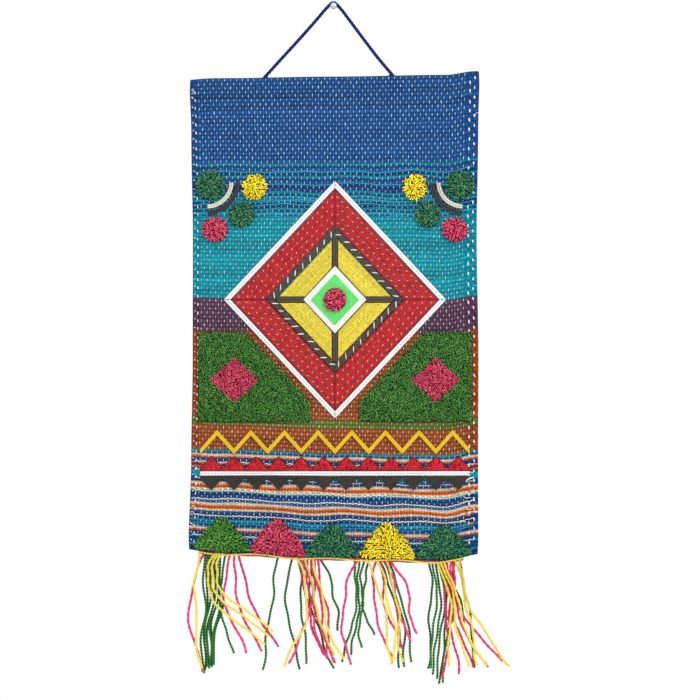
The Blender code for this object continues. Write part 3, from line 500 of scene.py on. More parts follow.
def tubes(bundle, paths, radii, sides, flat=1.0, **values):
    """Closed tubes: station + radius (cos a sideways + flat sin a outward), with a pole past each end."""
    paths = np.asarray(paths, dtype=np.float64)
    count, stations, _ = paths.shape
    radii = np.broadcast_to(radii, (count, stations))
    tangent, sideways, outward = path_axes(paths)
    angle = math.pi / 2.0 + np.arange(sides) * math.tau / sides
    aside = np.cos(angle)[:, None] * sideways[:, :, None, :]
    ring = aside + flat * np.sin(angle)[:, None] * outward[:, :, None, :]
    rings = paths[:, :, None, :] + radii[:, :, None, None] * ring
    start = paths[:, :1] - 0.55 * tangent[:, :1] * radii[:, :1, None]
    end = paths[:, -1:] + 0.55 * tangent[:, -1:] * radii[:, -1:, None]
    points = np.concatenate([rings.reshape(count, -1, 3), start, end], axis=1)
    size = points.shape[1]
    station = np.arange(stations - 1)[:, None] * sides
    side = np.arange(sides)[None, :]
    after = (side + 1) % sides
    quads = np.stack([station + side, station + after, station + sides + after, station + sides + side], axis=-1)
    first = size - 2
    last = size - 1
    far = (stations - 1) * sides
    side = side[0]
    after = after[0]
    caps = np.concatenate([
        np.stack([np.full(sides, first), after, side], axis=-1),
        np.stack([np.full(sides, last), far + side, far + after], axis=-1),
    ])
    shift = (np.arange(count) * size)[:, None, None]
    quads = (quads.reshape(1, -1, 4) + shift).reshape(-1, 4)
    caps = (caps[None] + shift).reshape(-1, 3)
    along = np.concatenate([np.repeat(np.linspace(0.0, 1.0, stations), sides), [0.0, 1.0]])
    crown = np.concatenate([np.tile(0.5 + 0.5 * np.sin(angle), stations), [0.5, 0.5]])
    full = {}
    for name, value in values.items():
        value = np.asarray(value, dtype=np.float64)
        full[name] = np.repeat(value, size, axis=0) if len(np.shape(value)) else np.full(count * size, value)
    bundle.add(points, quads, caps, along=np.tile(along, count), crown=np.tile(crown, count), **full)


def plied(paths, offset, lay_length, plies, phase=0.0):
    """Paths of the plies of a twisted yarn: each turns round the yarn's line once in a lay length."""
    steps = np.linalg.norm(np.diff(paths, axis=1), axis=2)
    run = np.concatenate([np.zeros((len(paths), 1)), np.cumsum(steps, axis=1)], axis=1)
    _, sideways, outward = path_axes(paths)
    made = []
    for ply in range(plies):
        turn = math.tau * (run / lay_length + ply / plies) + phase
        made.append(paths + offset * (np.cos(turn)[..., None] * sideways + np.sin(turn)[..., None] * outward))
    return np.concatenate(made)


def carry_profile(bundle, edge_a, edge_b, across, height, lift=0.0, **values):
    """A closed strip: a profile laid between two edges and carried along them on the cloth.

    edge_a and edge_b are (stations, 2) points in X and Z. across holds the profile's shares
    from edge a to edge b, and height (stations, len(across)) its height over the cloth.
    """
    points_2d = between(edge_a[:, None, :], edge_b[:, None, :], across[None, :, None])
    x = points_2d[..., 0]
    z = points_2d[..., 1]
    out = front_out(x, z) + LAY_GAP + lift + height
    points = np.stack([x, -out, z], axis=-1)
    stations, width = x.shape
    middle = points[[0, -1]].mean(axis=1)
    row = np.arange(stations - 1)[:, None] * width
    column = np.arange(width)[None, :]
    after = (column + 1) % width
    quads = np.stack([row + column, row + after, row + width + after, row + width + column], axis=-1)
    column = column[0]
    after = after[0]
    far = (stations - 1) * width
    size = stations * width
    caps = np.concatenate([
        np.stack([np.full(width, size), after, column], axis=-1),
        np.stack([np.full(width, size + 1), far + column, far + after], axis=-1),
    ])
    points = np.concatenate([points.reshape(-1, 3), middle])
    line_2d = 0.5 * (edge_a + edge_b)
    run = np.concatenate([[0.0], np.cumsum(np.linalg.norm(np.diff(line_2d, axis=0), axis=1))])
    wide = np.linalg.norm(edge_a - edge_b, axis=1)
    run = np.concatenate([np.repeat(run, width), [0.0, 0.0]])
    aside = np.concatenate([(wide[:, None] * across[None, :]).ravel(), [0.0, 0.0]])
    relief = np.concatenate([(height / max(height.max(), 1e-9)).ravel(), [0.0, 0.0]])
    bundle.add(points, quads.reshape(-1, 4), caps, relief=relief, run=run, aside=aside, **values)


def line(start, end, stations):
    """Evenly spaced points from start to end."""
    share = np.linspace(0.0, 1.0, stations)[:, None]
    return between(np.asarray(start)[None, :], np.asarray(end)[None, :], share)


def on_cloth(points, lift):
    """Points (…, 2) in X and Z as points in space, a height over the cloth's front."""
    x = points[..., 0]
    z = points[..., 1]
    return np.stack([x, -(front_out(x, z) + LAY_GAP + lift), z], axis=-1)


# Shader maths

class Wire:
    """A number or vector in a material's nodes, to be used in sums."""

    def __init__(self, bench, socket):
        self.bench = bench
        self.socket = socket

    def maths(self, operation, *others):
        """A Math node on this wire and others."""
        inputs = dict(enumerate((self,) + others))
        return self.bench.node("ShaderNodeMath", {"operation": operation}, inputs)

    def __add__(self, other):
        return self.maths("ADD", other)

    __radd__ = __add__

    def __mul__(self, other):
        return self.maths("MULTIPLY", other)

    __rmul__ = __mul__

    def __sub__(self, other):
        return self.maths("SUBTRACT", other)

    def __rsub__(self, other):
        return self.bench.node("ShaderNodeMath", {"operation": "SUBTRACT"}, {0: other, 1: self})

    def __pow__(self, other):
        return self.maths("POWER", other)

    def clamped(self, low, high, to_low=0.0, to_high=1.0):
        """Map a range onto another, held at its ends."""
        inputs = {"Value": self, "From Min": low, "From Max": high, "To Min": to_low, "To Max": to_high}
        return self.bench.node("ShaderNodeMapRange", {"clamp": True}, inputs, "Result")


class Bench:
    """One material being made."""

    def __init__(self, name, roughness=0.8, sheen=0.0, specular=0.3, metallic=0.0):
        self.material = bpy.data.materials.new(name)
        self.material.use_nodes = True
        self.tree = self.material.node_tree
        self.shader = self.tree.nodes["Principled BSDF"]
        self.shader.inputs["Roughness"].default_value = roughness
        self.shader.inputs["Metallic"].default_value = metallic
        self.shader.inputs["Specular IOR Level"].default_value = specular
        self.shader.inputs["Sheen Weight"].default_value = sheen
        self.shader.inputs["Sheen Roughness"].default_value = 0.45

    def node(self, kind, settings=None, inputs=None, output=0):
        """Add a node: its settings first, then its sockets' values or links. Gives one output."""
        made = self.tree.nodes.new(kind)
        for name, value in (settings or {}).items():
            setattr(made, name, value)
        for name, value in (inputs or {}).items():
            if isinstance(value, Wire):
                self.tree.links.new(value.socket, made.inputs[name])
            else:
                made.inputs[name].default_value = value
        return Wire(self, made.outputs[output])

    def place(self):
        """Object coordinates, in metres."""
        return self.node("ShaderNodeTexCoord", output="Object")

    def flat_place(self):
        """Object coordinates laid flat on the wall, in metres."""
        scale = {1: (1.0, 0.0, 1.0)}
        return self.node("ShaderNodeVectorMath", {"operation": "MULTIPLY"}, {0: self.place(), **scale})

    def value(self, name):
        """A number kept on the mesh."""
        return self.node("ShaderNodeAttribute", {"attribute_name": name}, output="Fac")

    def colour(self, name):
        """A colour kept on the mesh."""
        return self.node("ShaderNodeAttribute", {"attribute_name": name}, output="Color")

    def noise(self, scale, detail=2.0, stretch=(1.0, 1.0, 1.0)):
        """Noise whose grain is 1 / scale metres, stretched along the axes."""
        place = self.node("ShaderNodeMapping", inputs={"Vector": self.place(), "Scale": stretch})
        return self.node("ShaderNodeTexNoise", inputs={"Vector": place, "Scale": scale, "Detail": detail})

    def mix(self, low, high, share):
        """A blend of two colours."""
        made = self.tree.nodes.new("ShaderNodeMix")
        made.data_type = "RGBA"
        for name, value in (("A_Color", low), ("B_Color", high), ("Factor_Float", share)):
            socket = next(s for s in made.inputs if s.identifier == name)
            if isinstance(value, Wire):
                self.tree.links.new(value.socket, socket)
            elif name == "Factor_Float":
                socket.default_value = value
            else:
                socket.default_value = (*value[:3], 1.0)
        return Wire(self, next(s for s in made.outputs if s.identifier == "Result_Color"))

    def scaled(self, colour, factor):
        """A colour made lighter or darker by a factor."""
        if not isinstance(colour, Wire):
            colour = self.mix(colour, colour, 0.0)
        return self.node("ShaderNodeVectorMath", {"operation": "SCALE"}, {0: colour, "Scale": factor})

    def finish(self, colour, bump=None, depth=0.3 * MM, roughness=None):
        """Join colour, roughness and bump to the shader, and give the material."""
        if isinstance(colour, Wire):
            self.tree.links.new(colour.socket, self.shader.inputs["Base Color"])
        else:
            self.shader.inputs["Base Color"].default_value = (*colour[:3], 1.0)
        if roughness is not None:
            self.tree.links.new(roughness.socket, self.shader.inputs["Roughness"])
        if bump is not None:
            normal = self.node("ShaderNodeBump", inputs={"Height": bump, "Distance": depth}, output="Normal")
            self.tree.links.new(normal.socket, self.shader.inputs["Normal"])
        return self.material


def yarn_finish(name, colour, grain=900.0, root_shade=0.5, sheen=0.06, depth=0.25 * MM, spread=0.14):
    """Spun yarn: fibres as fine noise, each thread a little lighter or darker, darker at its root in painted shade."""
    bench = Bench(name, roughness=0.85, sheen=sheen)
    fibres = bench.noise(grain, 3.0)
    cloudy = bench.noise(45.0, 1.0)
    tone = 0.72 + fibres * 0.42 + bench.value("shade") * spread + cloudy * 0.14
    # Painted shade: darker toward the yarn's root
    tone = tone * bench.value("along").clamped(0.0, 0.6, root_shade, 1.0)
    return bench.finish(bench.scaled(colour, tone), fibres, depth)


def braid_finish(name, colour, grain=1100.0, dark=0.55, spread=0.10):
    """Braid: fine fibres, with the grooves between its strands in shade."""
    bench = Bench(name, roughness=0.78, sheen=0.06)
    fibres = bench.noise(grain, 3.0)
    tone = (0.58 + fibres * 0.66) * bench.value("relief").clamped(0.35, 0.95, dark, 1.0)
    tone = tone + bench.noise(60.0, 1.0) * spread
    return bench.finish(bench.scaled(colour, tone), fibres, 0.2 * MM)


def felt_finish(name, colour, contrast=0.5, flecks=0.0):
    """Felt: matted fibres in all directions, soft and without gloss, with dark flecks if it is thin."""
    bench = Bench(name, roughness=0.95, sheen=0.08, specular=0.12)
    matted = bench.noise(430.0, 3.0)
    streaks = bench.noise(240.0, 3.0, (1.0, 1.0, 0.45))
    tone = 0.77 - 0.5 * contrast + matted * contrast + streaks * 0.26
    tone = tone * bench.noise(520.0, 2.0, (1.8, 1.0, 0.5)).clamped(0.36, 0.50, 1.0 - flecks, 1.0)
    return bench.finish(bench.scaled(colour, tone), matted + streaks * 0.6, 0.35 * MM)


# Pieces

def settle(piece, slot, *nodes):
    """Fix a piece to the hanging's body, and hide the solids it stands for."""
    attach(piece, BODY)
    if nodes:
        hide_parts(*nodes)
    return piece


def weft_dyes(rows, rng):
    """Upper and lower yarn colour of each weft row, from the bands, each row a little uneven."""
    colours = np.zeros((rows, 2, 3))
    start = 0.0
    band_index = 0
    first_row = 0
    for row in range(rows):
        depth = (row + 0.5) / rows * CLOTH_HEIGHT
        while depth > BANDS[band_index].until:
            band_index += 1
            first_row = row
        pair = BANDS[band_index].rows[(row - first_row) % len(BANDS[band_index].rows)]
        tone = rng.uniform(0.88, 1.12)
        colours[row, 0] = np.array(pair[0]) * tone
        colours[row, 1] = np.array(pair[1]) * tone
    return colours


def cloth_finish():
    """Woven cloth: yarn colours with painted shade from the mesh, fibres along the weft, painted shade in the valleys,
    warp on the back.
    """
    bench = Bench("woven_yarn", roughness=0.9, specular=0.2)
    fibres = bench.noise(560.0, 4.0, (0.45, 1.0, 1.5))
    hairs = bench.noise(1500.0, 2.0)
    crest = bench.value("crest")
    rows = bench.noise(42.0, 2.0, (0.12, 1.0, 3.4)).clamped(0.3, 0.7, -0.12, 0.12)
    tone = fibres.clamped(0.30, 0.70, 0.62, 1.34) + hairs.clamped(0.3, 0.7, -0.14, 0.14) + rows
    # Painted shade in the valleys between weft rows
    tone = tone * crest.clamped(0.0, 1.0, 0.42, 1.0)
    colour = bench.scaled(bench.colour("dye"), tone)
    warp = bench.scaled((0.68, 0.74, 0.72), 0.7 + hairs * 0.5)
    colour = bench.mix(colour, warp, bench.value("warp_back").clamped(0.66, 0.80))
    stain = bench.noise(95.0, 3.0).clamped(0.66, 0.74) * bench.value("soiled")
    colour = bench.mix(colour, (0.012, 0.014, 0.03), stain * 0.6)
    return bench.finish(colour, fibres + hairs * 0.5, 0.45 * MM)


def woven_cloth(settings):
    """The cloth: front and back sheets whose rows rise as half rounds, joined round the edge.

    Each weft row is four steps of the grid down and each warp column one step across. The front
    stands at its solid's front, less a half-round valley between rows, and dips or rises by the
    plain weave's turn at each crossing. The back is the same, a thickness behind and turned over.
    """
    rows = settings.rows
    columns = settings.columns
    rng = np.random.default_rng(settings.seed)
    steps = rows * 4
    down = np.repeat(np.linspace(0.0, 1.0, steps + 1)[:, None], columns + 1, axis=1)
    across = np.repeat(np.linspace(0.0, 1.0, columns + 1)[None, :], steps + 1, axis=0)
    x, z = weave_point(across, down)
    step = np.arange(steps + 1)[:, None]
    crest = np.array(ROW_PROFILE)[step % len(ROW_PROFILE)] * np.ones((1, columns + 1))
    row = np.minimum(step // 4, rows - 1)
    column = np.arange(columns + 1)[None, :]
    turn = np.where((row + column) % 2 == 0, -1.0, 1.0)
    hem = np.exp(-((CLOTH_TOP - HEM_DEPTH - z) / (1.3 * MM)) ** 2)
    rise = settings.relief * (crest - 1.0) + settings.undulation * turn * crest
    front = front_out(x, z) + rise - 0.7 * MM * hem
    thick = cloth_thickness(z)
    rise_back = settings.relief * (crest - 1.0) - settings.undulation * turn * crest
    back = np.maximum(front_out(x, z) - thick - 0.4 * rise_back, 0.5 * MM)
    colours = weft_dyes(rows, rng)
    half = (step % 4 >= 2).astype(int)
    dyes = colours[row[:, 0], half[:, 0]][:, None, :] * np.ones((1, columns + 1, 1))
    dyes = dyes * (1.0 + 0.10 * ripple(x * 0.35, z * 3.0, 26.0 * MM, 9))[..., None]
    beside_warp = np.where(turn < 0.0, 1.0, 0.0) * crest
    # Painted shade: the yarn colours are darkened in the hem's groove and in the gaps beside each warp end
    shade = (1.0 - 0.35 * hem) * (1.0 - settings.gap_shade * beside_warp)
    dyes = dyes * shade[..., None]
    over_back = np.where(turn > 0.0, 1.0, 0.0) * (crest > 0.6)
    soiled = np.clip(1.0 - (CLOTH_TOP - z) / (60.0 * MM), 0.0, 1.0)
    soiled = np.maximum(soiled, 0.35 * np.clip((across - 0.93) / 0.05, 0.0, 1.0))
    width = columns + 1
    size = width * (steps + 1)
    grid = np.arange(size).reshape(steps + 1, width)
    quads = np.stack([grid[:-1, :-1], grid[1:, :-1], grid[1:, 1:], grid[:-1, 1:]], axis=-1).reshape(-1, 4)
    edge = np.concatenate([grid[:, 0], grid[-1, 1:], grid[-2::-1, -1], grid[0, -2:0:-1]])
    after = np.roll(edge, -1)
    rim = np.stack([edge, edge + size, after + size, after], axis=-1)
    points = np.concatenate([
        np.stack([x, -front, z], axis=-1).reshape(-1, 3),
        np.stack([x, -back, z], axis=-1).reshape(-1, 3),
    ])
    bundle = Bundle()
    bundle.add(
        points,
        np.concatenate([quads, quads[:, ::-1] + size, rim]),
        crest=np.tile(crest.ravel(), 2),
        warp_back=np.concatenate([np.zeros(size), over_back.ravel()]),
        soiled=np.tile(soiled.ravel(), 2),
        # The dye values carry the painted shade of the hem's groove and of the gaps beside the warp ends
        dye=np.tile(dyes.reshape(-1, 3), (2, 1)),
        uv=np.tile(np.stack([across, down], axis=-1).reshape(-1, 2), (2, 1)),
    )
    return bundle.build("woven_cloth", cloth_finish())


def warp_ends(settings):
    """Raised warp: a short flat loop over every second weft row in each column, set brickwise."""
    rows = settings.rows
    columns = settings.columns
    rng = np.random.default_rng(settings.seed + 1)
    row, column = np.meshgrid(np.arange(rows), np.arange(1, columns), indexing="ij")
    hem = (column / columns > 0.955) | (column / columns < 0.022)
    chosen = ((row + column) % 2 == 0) & ~hem
    row = row[chosen]
    column = column[chosen]
    count = len(row)
    middle = (row + 0.5) / rows
    across = column / columns
    half = 0.5 * settings.warp_length / CLOTH_HEIGHT * rng.uniform(0.82, 1.12, count)
    share = np.array((-1.0, 0.0, 1.0))
    down = np.clip(middle[:, None] + half[:, None] * share[None, :], 0.002, 0.998)
    x, z = weave_point(np.repeat(across[:, None], 3, axis=1), down)
    x = x + rng.normal(0.0, 0.12 * MM, count)[:, None]
    x = x + rng.normal(0.0, 0.12 * MM, count)[:, None] * share[None, :]
    lift = np.array((-0.75 * MM, 0.12 * MM, -0.75 * MM))[None, :]
    paths = np.stack([x, -(front_out(x, z) + lift), z], axis=-1)
    radius = settings.warp_width * 0.5 * rng.uniform(0.82, 1.15, count)
    radii = radius[:, None] * np.array((0.62, 1.0, 0.62))[None, :]
    weft = weft_dyes(rows, np.random.default_rng(settings.seed)).mean(axis=1)[row]
    dyes = between(np.array(dye(222, 238, 238)), weft, rng.uniform(0.12, 0.42, count)[:, None])
    bundle = Bundle()
    tubes(bundle, paths, radii, 4, flat=0.8, shade=rng.uniform(-1.0, 1.0, count), dye=dyes)
    finish = Bench("warp_thread", roughness=0.8)
    hairs = finish.noise(1500.0, 2.0)
    tone = 0.70 + hairs * 0.3 + finish.value("shade") * 0.26
    material = finish.finish(finish.scaled(finish.colour("dye"), tone), hairs, 0.15 * MM)
    return bundle.build("warp_ends", material)


def wavy_yarns(settings):
    """Thin yarns between weft rows: a sine over two warp columns, on the weave's own wander."""
    rng = np.random.default_rng(settings.seed + 2)
    bundle = Bundle()
    stations = 3 * settings.columns
    across = np.linspace(0.012, 0.988, stations)
    for yarn in WAVY_YARNS:
        down = np.full(stations, yarn.after_row / settings.rows)
        x, z = weave_point(across, down)
        turn = math.pi * (across * settings.columns + yarn.after_row)
        wander = ripple(x, z, 30.0 * MM, yarn.after_row)
        z = z + 0.42 * MM * np.cos(turn) * (1.0 + 0.4 * wander) + 0.7 * MM * wander
        lift = 0.10 * MM + 0.22 * MM * np.cos(turn + 0.8)
        path = np.stack([x, -(front_out(x, z) + lift), z], axis=-1)[None]
        radii = yarn.radius * (1.0 + 0.22 * wander)[None]
        tone = np.array(yarn.colour) * rng.uniform(0.9, 1.1)
        tubes(bundle, path, radii, 4, flat=0.8, shade=rng.uniform(-0.5, 0.5, 1), dye=tone[None])
    bench = Bench("wavy_yarn", roughness=0.85)
    fibres = bench.noise(1100.0, 3.0)
    material = bench.finish(bench.scaled(bench.colour("dye"), 0.62 + fibres * 0.7), fibres, 0.2 * MM)
    return bundle.build("wavy_yarns", material)


def hem_back_stitches():
    """The turned hem's own sewing on the back: slanted stitches over the end of its inner layer."""
    rng = np.random.default_rng(23)
    count = 46
    x = CLOTH_MID_X + CLOTH_HALF_WIDTH * np.linspace(-0.96, 0.96, count) + rng.normal(0.0, 0.5 * MM, count)
    z = CLOTH_TOP - HEM_DEPTH + rng.normal(0.0, 0.4 * MM, count)
    share = np.array((-0.5, -0.2, 0.2, 0.5))[None, :]
    path_x = x[:, None] + 3.0 * MM * share
    path_z = z[:, None] + 4.4 * MM * share
    out = front_out(path_x, path_z) - cloth_thickness(path_z) - np.array((0.1, 0.8, 0.9, 0.1))[None, :] * MM
    paths = np.stack([path_x, -np.maximum(out, 0.4 * MM), path_z], axis=-1)
    bundle = Bundle()
    tubes(bundle, paths, 0.42 * MM, 5, shade=rng.uniform(-1.0, 1.0, count))
    return bundle.build("hem_back_stitches", thread_finish("hem_back_thread", dye(226, 228, 224)))


def running_stitches(bundle, start, end, pitch, length, radius, rng, lift=0.5 * MM, tilt=0.0):
    """Stitches along a line on the cloth: low arches, each a little uneven."""
    start = np.asarray(start)
    end = np.asarray(end)
    run = np.linalg.norm(end - start)
    count = max(2, int(run / pitch))
    way = (end - start) / run
    side = np.array((-way[1], way[0]))
    along = (np.arange(count) + 0.5) / count * run + rng.normal(0.0, 0.05 * pitch, count)
    aside = rng.normal(0.0, 0.04 * length, count)
    lean = tilt + rng.normal(0.0, 0.08, count)
    arch = np.array((-0.5, -0.3, 0.0, 0.3, 0.5))
    stitch_way = np.cos(lean)[:, None] * way + np.sin(lean)[:, None] * side
    centre = start + along[:, None] * way + aside[:, None] * side
    flat = centre[:, None, :] + (arch * length)[None, :, None] * stitch_way[:, None, :]
    height = lift * (1.0 - (2.0 * np.abs(arch)) ** 2.5)[None, :] - 0.6 * radius
    paths = on_cloth(flat, height)
    radii = radius * np.array((0.55, 0.9, 1.0, 0.9, 0.55))[None, :] * rng.uniform(0.85, 1.12, count)[:, None]
    tubes(bundle, paths, radii, 5, shade=rng.uniform(-1.0, 1.0, count))


def hem_stitches():
    """White thread: two bold rows down the right hem, one down the left and a whipped left edge."""
    rng = np.random.default_rng(21)
    bundle = Bundle()
    for seam in HEM_SEAMS:
        down = np.linspace(seam.first, seam.first + 0.97, 8)
        x, z = cloth_point(np.full_like(down, seam.across), down)
        for index in range(len(down) - 1):
            start = (x[index], z[index])
            end = (x[index + 1], z[index + 1])
            running_stitches(
                bundle, start, end, seam.pitch, seam.length, seam.radius, rng, 0.8 * MM, rng.normal(seam.lean, 0.06),
            )
    return bundle.build("hem_stitches", thread_finish("hem_thread", dye(250, 252, 252)))


def thread_finish(name, colour):
    """Sewing thread."""
    return yarn_finish(name, colour, 1800.0, 0.9, 0.2, 0.12 * MM, 0.08)


def quarter_point(x, z, quarter, clear=0.0):
    """Move a point of the lozenge's upper right quarter to another quarter."""
    side_x, side_z = QUARTERS[quarter]
    return np.array((CLOTH_MID_X + side_x * (x + clear), MEDALLION_Z + side_z * (z + clear)))


def ring_edges(quarter, outer, inner, stations):
    """Outer and inner edge of one side of a lozenge ring."""
    edges = []
    for share in (outer, inner):
        top = quarter_point(0.0, MEDALLION_HALF_HEIGHT * share, quarter, MITRE_GAP)
        tip = quarter_point(MEDALLION_HALF_WIDTH * share, 0.0, quarter, MITRE_GAP)
        edges.append(line(top, tip, stations))
    return edges


def plait(edge_a, edge_b, bundle, thickness=BRAID_THICKNESS, pitch=3.4 * MM, lift=0.0, relief=0.34):
    """Flat braid: a rounded strip whose chevron ridges run from its middle back to both edges."""
    across = np.array((0.0, 0.015, 0.08, 0.2, 0.32, 0.44, 0.5, 0.56, 0.68, 0.8, 0.92, 0.985, 1.0))
    middle = 0.5 * (edge_a + edge_b)
    run = np.concatenate([[0.0], np.cumsum(np.linalg.norm(np.diff(middle, axis=0), axis=1))])
    rounding = np.sqrt(np.clip(1.0 - (2.0 * np.abs(across - 0.5)) ** 6, 0.0, 1.0))
    turn = run[:, None] / pitch + 1.25 * np.abs(across - 0.5)[None, :]
    ridges = np.abs(np.sin(math.pi * turn))
    groove = 1.0 - 0.5 * np.exp(-((across - 0.5) / 0.035) ** 2)
    height = thickness * rounding[None, :] * (1.0 - relief + relief * ridges) * groove[None, :]
    carry_profile(bundle, edge_a, edge_b, across, height, lift)


def laid_yarn(edge_a, edge_b, bundle, yarns, seed, thickness=PANEL_THICKNESS):
    """Yarns laid side by side from end to end: half-round ridges that wander a little."""
    samples = yarns * 4
    across = np.linspace(0.0, 1.0, samples + 1)
    rng = np.random.default_rng(seed)
    stations = len(edge_a)
    ridge = np.abs(np.sin(math.pi * across * yarns)) ** 0.7
    yarn = np.minimum((across * yarns).astype(int), yarns - 1)
    level = rng.uniform(0.86, 1.08, yarns)[yarn]
    edge_fade = np.minimum(1.0, np.minimum(across, 1.0 - across) * yarns * 2.0)
    height = thickness * (0.45 + 0.55 * ridge * level)[None, :] * np.ones((stations, 1))
    share = np.linspace(0.0, 1.0, stations)
    sway = np.sin(math.tau * (share[:, None] * 5.0 + rng.uniform(0.0, 1.0, yarns)[yarn][None, :]))
    height = height * (1.0 + 0.06 * sway) * edge_fade[None, :]
    across = across[None, :] * np.ones((stations, 1))
    shade = rng.uniform(-1.0, 1.0, yarns)[yarn]
    shade = np.concatenate([np.tile(shade, stations), [0.0, 0.0]])
    carry_profile(bundle, edge_a, edge_b, across[0], height, shade=shade)


def laid_finish(name, colour, glint, streak_length, contrast, lightness=0.70):
    """Laid yarn: dark and light streaks along the yarns, painted glints on them, grooves in shade, each yarn its own
    tone.
    """
    bench = Bench(name, roughness=0.62, sheen=0.06, specular=0.35)
    run = bench.value("run") * (1.0 / streak_length)
    aside = bench.value("aside") * (1.0 / STREAK_WIDTH)
    place = bench.node("ShaderNodeCombineXYZ", inputs={"X": run, "Y": aside + bench.noise(26.0) * 3.0})
    streaks = bench.node("ShaderNodeTexNoise", inputs={"Vector": place, "Scale": 1.0, "Detail": 2.0})
    fibres = bench.noise(900.0, 3.0)
    tone = lightness + fibres * 0.34 + streaks.clamped(0.34, 0.60, -contrast, 0.12)
    tone = tone * bench.value("relief").clamped(0.35, 0.95, 0.45, 1.0) + bench.value("shade") * 0.06
    # Painted glints: the light peaks of the streaks are blended toward a pale glint colour
    colour = bench.mix(colour, glint, streaks.clamped(0.56, 0.70, 0.0, 0.55))
    return bench.finish(bench.scaled(colour, tone), fibres + streaks, 0.3 * MM)


def yellow_edges(quarter, stations):
    """Outer and inner edge of a yellow panel, between two bars."""
    clear = BAR_HALF_WIDTH + LAY_GAP
    wide = MEDALLION_HALF_WIDTH * YELLOW_LIMIT
    high = MEDALLION_HALF_HEIGHT * YELLOW_LIMIT
    inner = FELT_RING + FELT_CLEARANCE
    ends = (
        ((clear, high * (1.0 - clear / wide)), (wide * (1.0 - clear / high), clear)),
        ((clear, MEDALLION_HALF_HEIGHT * inner - clear), (MEDALLION_HALF_WIDTH * inner - clear, clear)),
    )
    return [line(quarter_point(*top, quarter), quarter_point(*tip, quarter), stations) for top, tip in ends]


def bar_edges():
    """Both edges of the four bars, by name."""
    near = FELT_RING + FELT_CLEARANCE
    far = YELLOW_LIMIT
    bars = {}
    for name, way in (("top", (0, 1)), ("right", (1, 0)), ("bottom", (0, -1)), ("left", (-1, 0))):
        reach = MEDALLION_HALF_WIDTH if way[0] else MEDALLION_HALF_HEIGHT
        lean = BAR_HALF_WIDTH * reach / (MEDALLION_HALF_HEIGHT if way[0] else MEDALLION_HALF_WIDTH)
        centre = np.array((CLOTH_MID_X, MEDALLION_Z))
        along = np.array(way, dtype=float)
        side = np.array((-along[1], along[0])) * BAR_HALF_WIDTH
        start = centre + along * (reach * near - 0.5 * lean)
        end = centre + along * (reach * far - 0.5 * lean)
        bars[name] = (line(start + side, end + side, 44), line(start - side, end - side, 44))
    return bars


def node_copy(name, node, material, bevel):
    """A welded copy of a solid with its edges rounded."""
    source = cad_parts[node]
    merged = bmesh.new()
    merged.from_mesh(source.data)
    bmesh.ops.remove_doubles(merged, verts=merged.verts[:], dist=0.01 * MM)
    bmesh.ops.dissolve_limit(merged, angle_limit=math.radians(4.0), verts=merged.verts[:], edges=merged.edges[:])
    sharp = [edge for edge in merged.edges if len(edge.link_faces) == 2 and edge.calc_face_angle() > 0.7]
    bmesh.ops.bevel(merged, geom=sharp, offset=bevel, segments=2, affect="EDGES", profile=0.6)
    bmesh.ops.triangulate(merged, faces=merged.faces[:])
    mesh = bpy.data.meshes.new(name)
    merged.to_mesh(mesh)
    merged.free()
    mesh.shade_smooth()
    mesh.set_sharp_from_angle(angle=math.radians(50.0))
    mesh.materials.append(material)
    piece = bpy.data.objects.new(name, mesh)
    bpy.context.scene.collection.objects.link(piece)
    return piece


def outline_threads(bundle, node, radius):
    """A thread laid round the outline of a solid's front."""
    merged = bmesh.new()
    merged.from_mesh(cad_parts[node].data)
    bmesh.ops.remove_doubles(merged, verts=merged.verts[:], dist=0.01 * MM)
    merged.normal_update()
    rim = set()
    for edge in merged.edges:
        facing = sorted(face.normal.y for face in edge.link_faces)
        if len(facing) == 2 and facing[0] < -0.7 and facing[1] > -0.4:
            rim.add(edge)
    while rim:
        edge = min(rim, key=lambda side: sorted(vert.co[:] for vert in side.verts))
        rim.discard(edge)
        chain = sorted(edge.verts, key=lambda vert: vert.co[:])
        while chain[0] is not chain[-1]:
            step = next((other for other in chain[-1].link_edges if other in rim), None)
            if step is None:
                break
            rim.discard(step)
            chain.append(step.other_vert(chain[-1]))
        corners = np.array([vert.co[:] for vert in chain])
        run = np.concatenate([[0.0], np.cumsum(np.linalg.norm(np.diff(corners, axis=0), axis=1))])
        at = np.linspace(0.0, run[-1], max(4, int(run[-1] / (2.2 * MM))))
        path = np.stack([np.interp(at, run, corners[:, axis]) for axis in range(3)], axis=-1)
        tubes(bundle, path[None], radius, 5, shade=np.zeros(1))
    merged.free()


def front_triangles(node):
    """Corners (triangles, 3, 3) of a solid's front faces."""
    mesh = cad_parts[node].data
    mesh.calc_loop_triangles()
    corners = np.empty(len(mesh.loop_triangles) * 3, dtype=np.int32)
    mesh.loop_triangles.foreach_get("vertices", corners)
    points = np.empty(len(mesh.vertices) * 3, dtype=np.float32)
    mesh.vertices.foreach_get("co", points)
    triangles = points.reshape(-1, 3)[corners.reshape(-1, 3)].astype(np.float64)
    normal = np.cross(triangles[:, 1] - triangles[:, 0], triangles[:, 2] - triangles[:, 0])
    normal /= np.linalg.norm(normal, axis=1, keepdims=True) + 1e-15
    return triangles[normal[:, 1] < -0.25]


